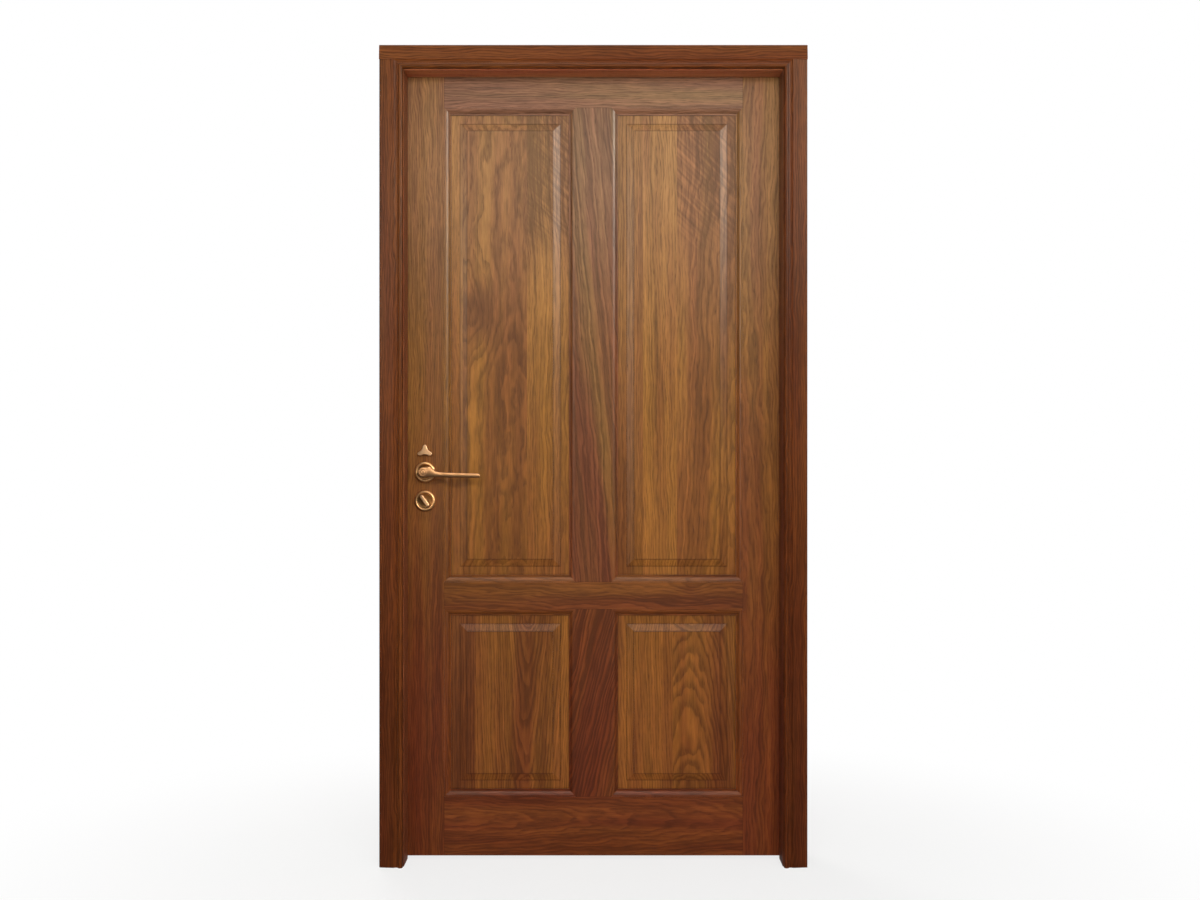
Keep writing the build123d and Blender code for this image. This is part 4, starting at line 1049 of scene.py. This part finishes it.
@dataclass
class LeverSet:
    """The brass levers and the roses that they turn in, on both faces of the leaf.

    Attributes:
        neck: Radii and heights of the neck and boss over the leaf, in metres.
        cap: Radii and heights of the ringed end of the boss, in metres.
        arm: Distance from the axis, height, depth and drop of the arm's sections, in metres.
        standoff: How far the arm's middle stands from the leaf, in metres.
        grain: Size of the cells in which the cast form is blended, in metres.
        rim: Radii and heights of a rose, from its outer foot to the edge of its dish, in metres.
        dishes: Radii and heights of each rose inside its dish, in metres.
        patina_share: Radii between which the dish's dark fades, as shares of the rose's radius.
        sides: Sides of the neck and cap, of the arm and of a rose.
        polish: Strength and rounds of the smoothing after the blend.
        sharp: Angles from which an edge of a lever and of a rose stays sharp, in degrees.
    """

    neck: Profile = (
        (0.009, 0.002), (0.009, 0.008), (0.0084, 0.016), (0.0086, 0.026),
        (0.01, 0.034), (0.0124, 0.039), (0.013, 0.042), (0.013, 0.049),
        (0.0122, 0.0518), (0.01, 0.053),
    )
    cap: Profile = (
        (0.0096, 0.05), (0.0096, 0.053), (0.009, 0.0535), (0.008, 0.0535),
        (0.0074, 0.0528), (0.006, 0.0526), (0.0052, 0.0533), (0.003, 0.0535),
        (0.0004, 0.0535),
    )
    arm: tuple[tuple[float, float, float, float], ...] = (
        (0.0, 0.025, 0.014, 0.0),
        (0.008, 0.027, 0.0148, -0.001),
        (0.015, 0.0284, 0.0148, -0.0016),
        (0.02, 0.0262, 0.014, -0.0004),
        (0.026, 0.021, 0.0126, 0.0022),
        (0.032, 0.0158, 0.0116, 0.0044),
        (0.039, 0.0132, 0.011, 0.0054),
        (0.056, 0.0128, 0.0108, 0.0061),
        (0.08, 0.0124, 0.0105, 0.0068),
        (0.106, 0.012, 0.0101, 0.0074),
        (0.128, 0.0117, 0.0097, 0.0078),
        (0.137, 0.0114, 0.0094, 0.0079),
        (0.1404, 0.0098, 0.0078, 0.008),
        (0.1418, 0.0066, 0.005, 0.008),
    )
    standoff: float = 0.046
    grain: float = 0.0009
    rim: Profile = (
        (0.026, 0.0), (0.026, 0.0038), (0.0258, 0.0062), (0.0251, 0.0082),
        (0.0238, 0.0095), (0.022, 0.01), (0.0203, 0.0095), (0.0191, 0.0082),
        (0.0184, 0.0064), (0.0181, 0.005), (0.0174, 0.0045),
    )
    dishes: tuple[tuple[str, Profile], ...] = (
        (
            "lever",
            (
                (0.0126, 0.0043), (0.012, 0.005), (0.0112, 0.0056),
                (0.0102, 0.0056), (0.0094, 0.005), (0.0092, 0.003),
            ),
        ),
        ("turn", ((0.009, 0.0043), (0.0066, 0.0044), (0.0062, 0.003))),
    )
    patina_share: Pair = (0.62, 0.76)
    sides: tuple[int, int, int] = (48, 40, 96)
    polish: tuple[float, int] = (0.5, 10)
    sharp: Pair = (40.0, 50.0)

    def _turned(self, name: str, axis: Vector, outward: float, profile: Profile, sides: int) -> Piece:
        """Turn a profile round an axis through the leaf.

        Args:
            name: The new object's name.
            axis: Where the axis meets the leaf's face.
            outward: Which way is out of the leaf: 1 or -1 along Y.
            profile: Radii and heights over the face.
            sides: How many sides the form has.

        Returns:
            The turned form.
        """
        sections = [
            Section(axis + Vector((0.0, outward * rise, 0.0)), radius, radius) for radius, rise in profile
        ]
        return draw_out(name, Facing.THROUGH, sections, sides)

    def _lever(self, name: str, axis: Vector, outward: float) -> Piece:
        """Model one lever: neck, boss and arm blended as one casting, and the ringed end."""
        out = outward * self.standoff
        arm = [
            Section(axis + Vector((offset, out, -drop)), depth / 2, height / 2)
            for offset, height, depth, drop in self.arm
        ]
        round_sides, arm_sides, _ = self.sides
        neck = self._turned("neck", axis, outward, self.neck, round_sides)
        lever = join(f"{name}_cast", [neck, draw_out("arm", Facing.ACROSS, arm, arm_sides)])
        blend = lever.modifiers.new("blend", "REMESH")
        blend.mode = "VOXEL"
        blend.voxel_size = self.grain
        polish = lever.modifiers.new("polish", "SMOOTH")
        polish.factor, polish.iterations = self.polish
        for modifier in ("blend", "polish"):
            bpy.ops.object.modifier_apply(modifier=modifier)
        cap = self._turned("cap", axis, outward, self.cap, round_sides)
        lever = join(f"{name}_cast", [lever, cap])
        smooth_over(lever, self.sharp[0])
        return lever

    def build(self, bright: Colour, dull: Colour, rim: Colour, dark: Colour) -> None:
        """Model the levers and roses and put them in place of their plain solids.

        Args:
            bright: Colour of the levers.
            dull: Colour where they are worn.
            rim: Colour of the roses' rims.
            dark: Colour in the dishes.
        """
        metal = PlainFinish("brass_lever", bright, dull).material()
        for row, dish in self.dishes:
            for side, outward in (("front", -1.0), ("rear", 1.0)):
                node = f"{row}_rose_{side}"
                low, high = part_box(node)
                middle = (low + high) / 2
                axis = Vector((middle.x, high.y if outward < 0 else low.y, middle.z))
                rose = self._turned(f"{node}_turned", axis, outward, self.rim + dish, self.sides[2])
                smooth_over(rose, self.sharp[1])
                inner, outer = (share * (high.x - low.x) / 2 for share in self.patina_share)
                patina = DishPatina((axis.x, axis.z), (inner, outer), dark)
                self._seat(rose, PlainFinish(f"brass_{node}", rim, rim, patina).material(), node, "leaf")
                if row == "lever":
                    self._seat(self._lever(f"lever_{side}", axis, outward), metal, f"lever_{side}", "lever")

    def _seat(self, piece: Piece, metal: Material, node: str, body: str) -> None:
        """Dress a new piece, let it ride on a body and stand for a CAD node."""
        wear(piece, metal)
        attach(piece, body)
        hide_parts(node)


def wear(piece: Piece, material: Material) -> None:
    """Dress a piece in one material.

    Args:
        piece: The piece.
        material: Its finish.
    """
    piece.data.materials.clear()
    piece.data.materials.append(material)
    LOG.info("%s wears %s", piece.name, material.name)


class Reach(Enum):
    """What a soft box lights: the colours of things, or their gloss. The value is its own colour."""

    FILL = (1.0, 0.97, 0.93)
    GLOSS = (1.0, 0.93, 0.80)


@dataclass(frozen=True)
class Lamp:
    """A soft box.

    Attributes:
        name: Its name.
        place: Where it stands, in metres.
        aim: Where it points.
        size: Its width and height, in metres.
        power: Its power, in watts.
        reach: What it lights.
    """

    name: str
    place: Triple
    aim: Triple
    size: Pair
    power: float
    reach: Reach

    def set_up(self) -> None:
        """Put the soft box in the scene."""
        bpy.ops.object.light_add(type="AREA", location=self.place)
        lamp = bpy.context.object
        lamp.name = self.name
        direction = Vector(self.aim) - Vector(self.place)
        lamp.rotation_euler = direction.to_track_quat("-Z", "Y").to_euler()
        lamp.data.shape = "RECTANGLE"
        lamp.data.size, lamp.data.size_y = self.size
        lamp.data.energy = self.power
        lamp.data.color = self.reach.value
        lamp.visible_diffuse = self.reach is Reach.FILL
        lamp.visible_glossy = self.reach is Reach.GLOSS


@dataclass
class Studio:
    """Camera, soft boxes, pale floor and white surroundings.

    Attributes:
        eye: Where the camera stands, in metres.
        lens: Focal length, in millimetres.
        sensor: Width of the camera's sensor, in millimetres.
        ambient: Level of the light that comes from all round.
        mirrored: Level of the surroundings in reflections, below and above.
        mirror_rise: Directions between which that level rises, as heights on a sphere of radius 1.
        floor_half: Half the floor's side, in metres.
        floor_fade: Distances over which the floor fades into white, in metres.
        floor_glow: Share of white in the floor under the door.
        floor_mirrored: Level of the floor in reflections.
        floor_speck: Noise of its paint.
        floor_tints: The two colours of its paint.
        floor_finish: Roughness and specular level of its paint.
        lamps: The soft boxes.
    """

    eye: Triple = (0.0164, -3.98, 1.029)
    lens: float = 47.6
    sensor: float = 36.0
    ambient: float = 0.34
    mirrored: Pair = (0.17, 0.36)
    mirror_rise: Pair = (0.0, 0.7)
    floor_half: float = 9.0
    floor_fade: Pair = (0.5, 1.8)
    floor_glow: float = 0.75
    floor_mirrored: float = 0.22
    floor_speck: Figure = Figure((3.0, 3.0, 3.0), 0.0, 4.0)
    floor_tints: tuple[Colour, Colour] = ((0.80, 0.80, 0.79), (0.84, 0.84, 0.83))
    floor_finish: Pair = (0.9, 0.1)
    lamps: tuple[Lamp, ...] = (
        Lamp("key_box", (0.25, -3.3, 2.05), (0.0, 0.02, 1.2), (2.4, 1.0), 84.0, Reach.FILL),
        Lamp("sheen_box", (2.76, -2.13, 2.5), (0.0, 0.02, 1.7), (2.9, 0.9), 380.0, Reach.GLOSS),
        Lamp("top_sheen", (0.15, -3.3, 2.52), (0.0, 0.02, 1.7), (1.7, 0.6), 24.0, Reach.GLOSS),
        Lamp("high_sheen", (0.0, -1.14, 3.95), (0.0, 0.02, 1.4), (1.8, 1.85), 112.0, Reach.GLOSS),
        Lamp("left_sheen", (-2.15, -2.76, 1.9), (0.0, 0.02, 1.3), (1.0, 1.4), 95.0, Reach.GLOSS),
        Lamp("rear_box", (-1.4, 3.3, 2.4), (0.0, 0.06, 1.1), (1.6, 1.0), 80.0, Reach.FILL),
        Lamp("rear_sheen", (-1.2, 3.4, 2.3), (0.0, 0.06, 1.3), (1.8, 1.2), 60.0, Reach.GLOSS),
    )

    def set_up(self) -> None:
        """Make the whole studio."""
        self._camera()
        self._world()
        self._floor()
        for lamp in self.lamps:
            lamp.set_up()
        bpy.context.scene.view_settings.view_transform = "Standard"

    def _camera(self) -> None:
        """Stand the camera square to the door, where the photograph was taken from."""
        bpy.ops.object.camera_add(location=self.eye, rotation=(math.radians(90), 0.0, 0.0))
        camera = bpy.context.object
        camera.name = "camera"
        camera.data.lens = self.lens
        camera.data.sensor_width = self.sensor
        camera.data.dof.use_dof = False
        bpy.context.scene.camera = camera

    def _world(self) -> None:
        """White to the eye, dimmer below in reflections, a plain level of light for all else."""
        world = bpy.data.worlds.new("surroundings")
        bpy.context.scene.world = world
        world.use_nodes = True
        sheet = NodeSheet(world.node_tree, "Generated")
        seen, mirror = sheet.rays()
        rise = sheet.band(sheet.axes()[2], *self.mirror_rise, *self.mirrored)
        plain, shown = sheet.tree.nodes["Background"], sheet.node("ShaderNodeBackground")
        for light, level in ((plain, self.ambient), (shown, sheet.math("MAXIMUM", seen, rise))):
            sheet.feed(light.inputs["Color"], WHITE)
            sheet.feed(light.inputs["Strength"], level)
        sheet.blend(sheet.math("MAXIMUM", seen, mirror), plain, shown, "World Output")

    def _floor(self) -> None:
        """Lay a pale floor that keeps the door's shadow and fades into white."""
        bpy.ops.object.select_all(action="DESELECT")
        bpy.ops.mesh.primitive_plane_add(size=2 * self.floor_half)
        floor = bpy.context.object
        floor.name = "floor"
        sheet = FinishSheet("floor_paint")
        x, y, _ = sheet.axes()
        away = sheet.length(sheet.point(x, y, 0.0))
        paint = sheet.mix(sheet.noise(self.floor_speck, sheet.place), *self.floor_tints)
        roughness, gloss = self.floor_finish
        sheet.set(base_color=paint, roughness=roughness, specular_ior_level=gloss)
        seen, mirror = sheet.rays()
        white = sheet.times(seen, sheet.band(away, *self.floor_fade, self.floor_glow, 1.0))
        glow = sheet.node("ShaderNodeEmission")
        level = sheet.math("MULTIPLY_ADD", mirror, self.floor_mirrored - 1.0, 1.0)
        sheet.feed(glow.inputs["Strength"], level)
        sheet.blend(sheet.math("MAXIMUM", white, mirror), sheet.shader, glow, "Material Output")
        wear(floor, sheet.material)


def main() -> None:
    """Load the frame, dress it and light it."""
    logging.basicConfig(level=logging.INFO, format="%(name)s: %(message)s")
    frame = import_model()
    nodes = frame["nodes"]
    bpy.ops.object.select_all(action="DESELECT")
    for board in (*DoorLeaf().boards(), *DoorFrame().boards()):
        wear(nodes[board.node], OakSheet(board).build())
    finishes = {slot: finish.material() for slot, finish in FINISHES.items()}
    LeverSet().build(LEVER_BRASS, WORN_BRASS, RIM_BRASS, DARK_BRASS)
    for subpart in frame["record"]["subparts"]:
        if subpart["material_slot"] in finishes:
            wear(nodes[subpart["node"]], finishes[subpart["material_slot"]])
    Studio().set_up()


if __name__ == "__main__":
    main()
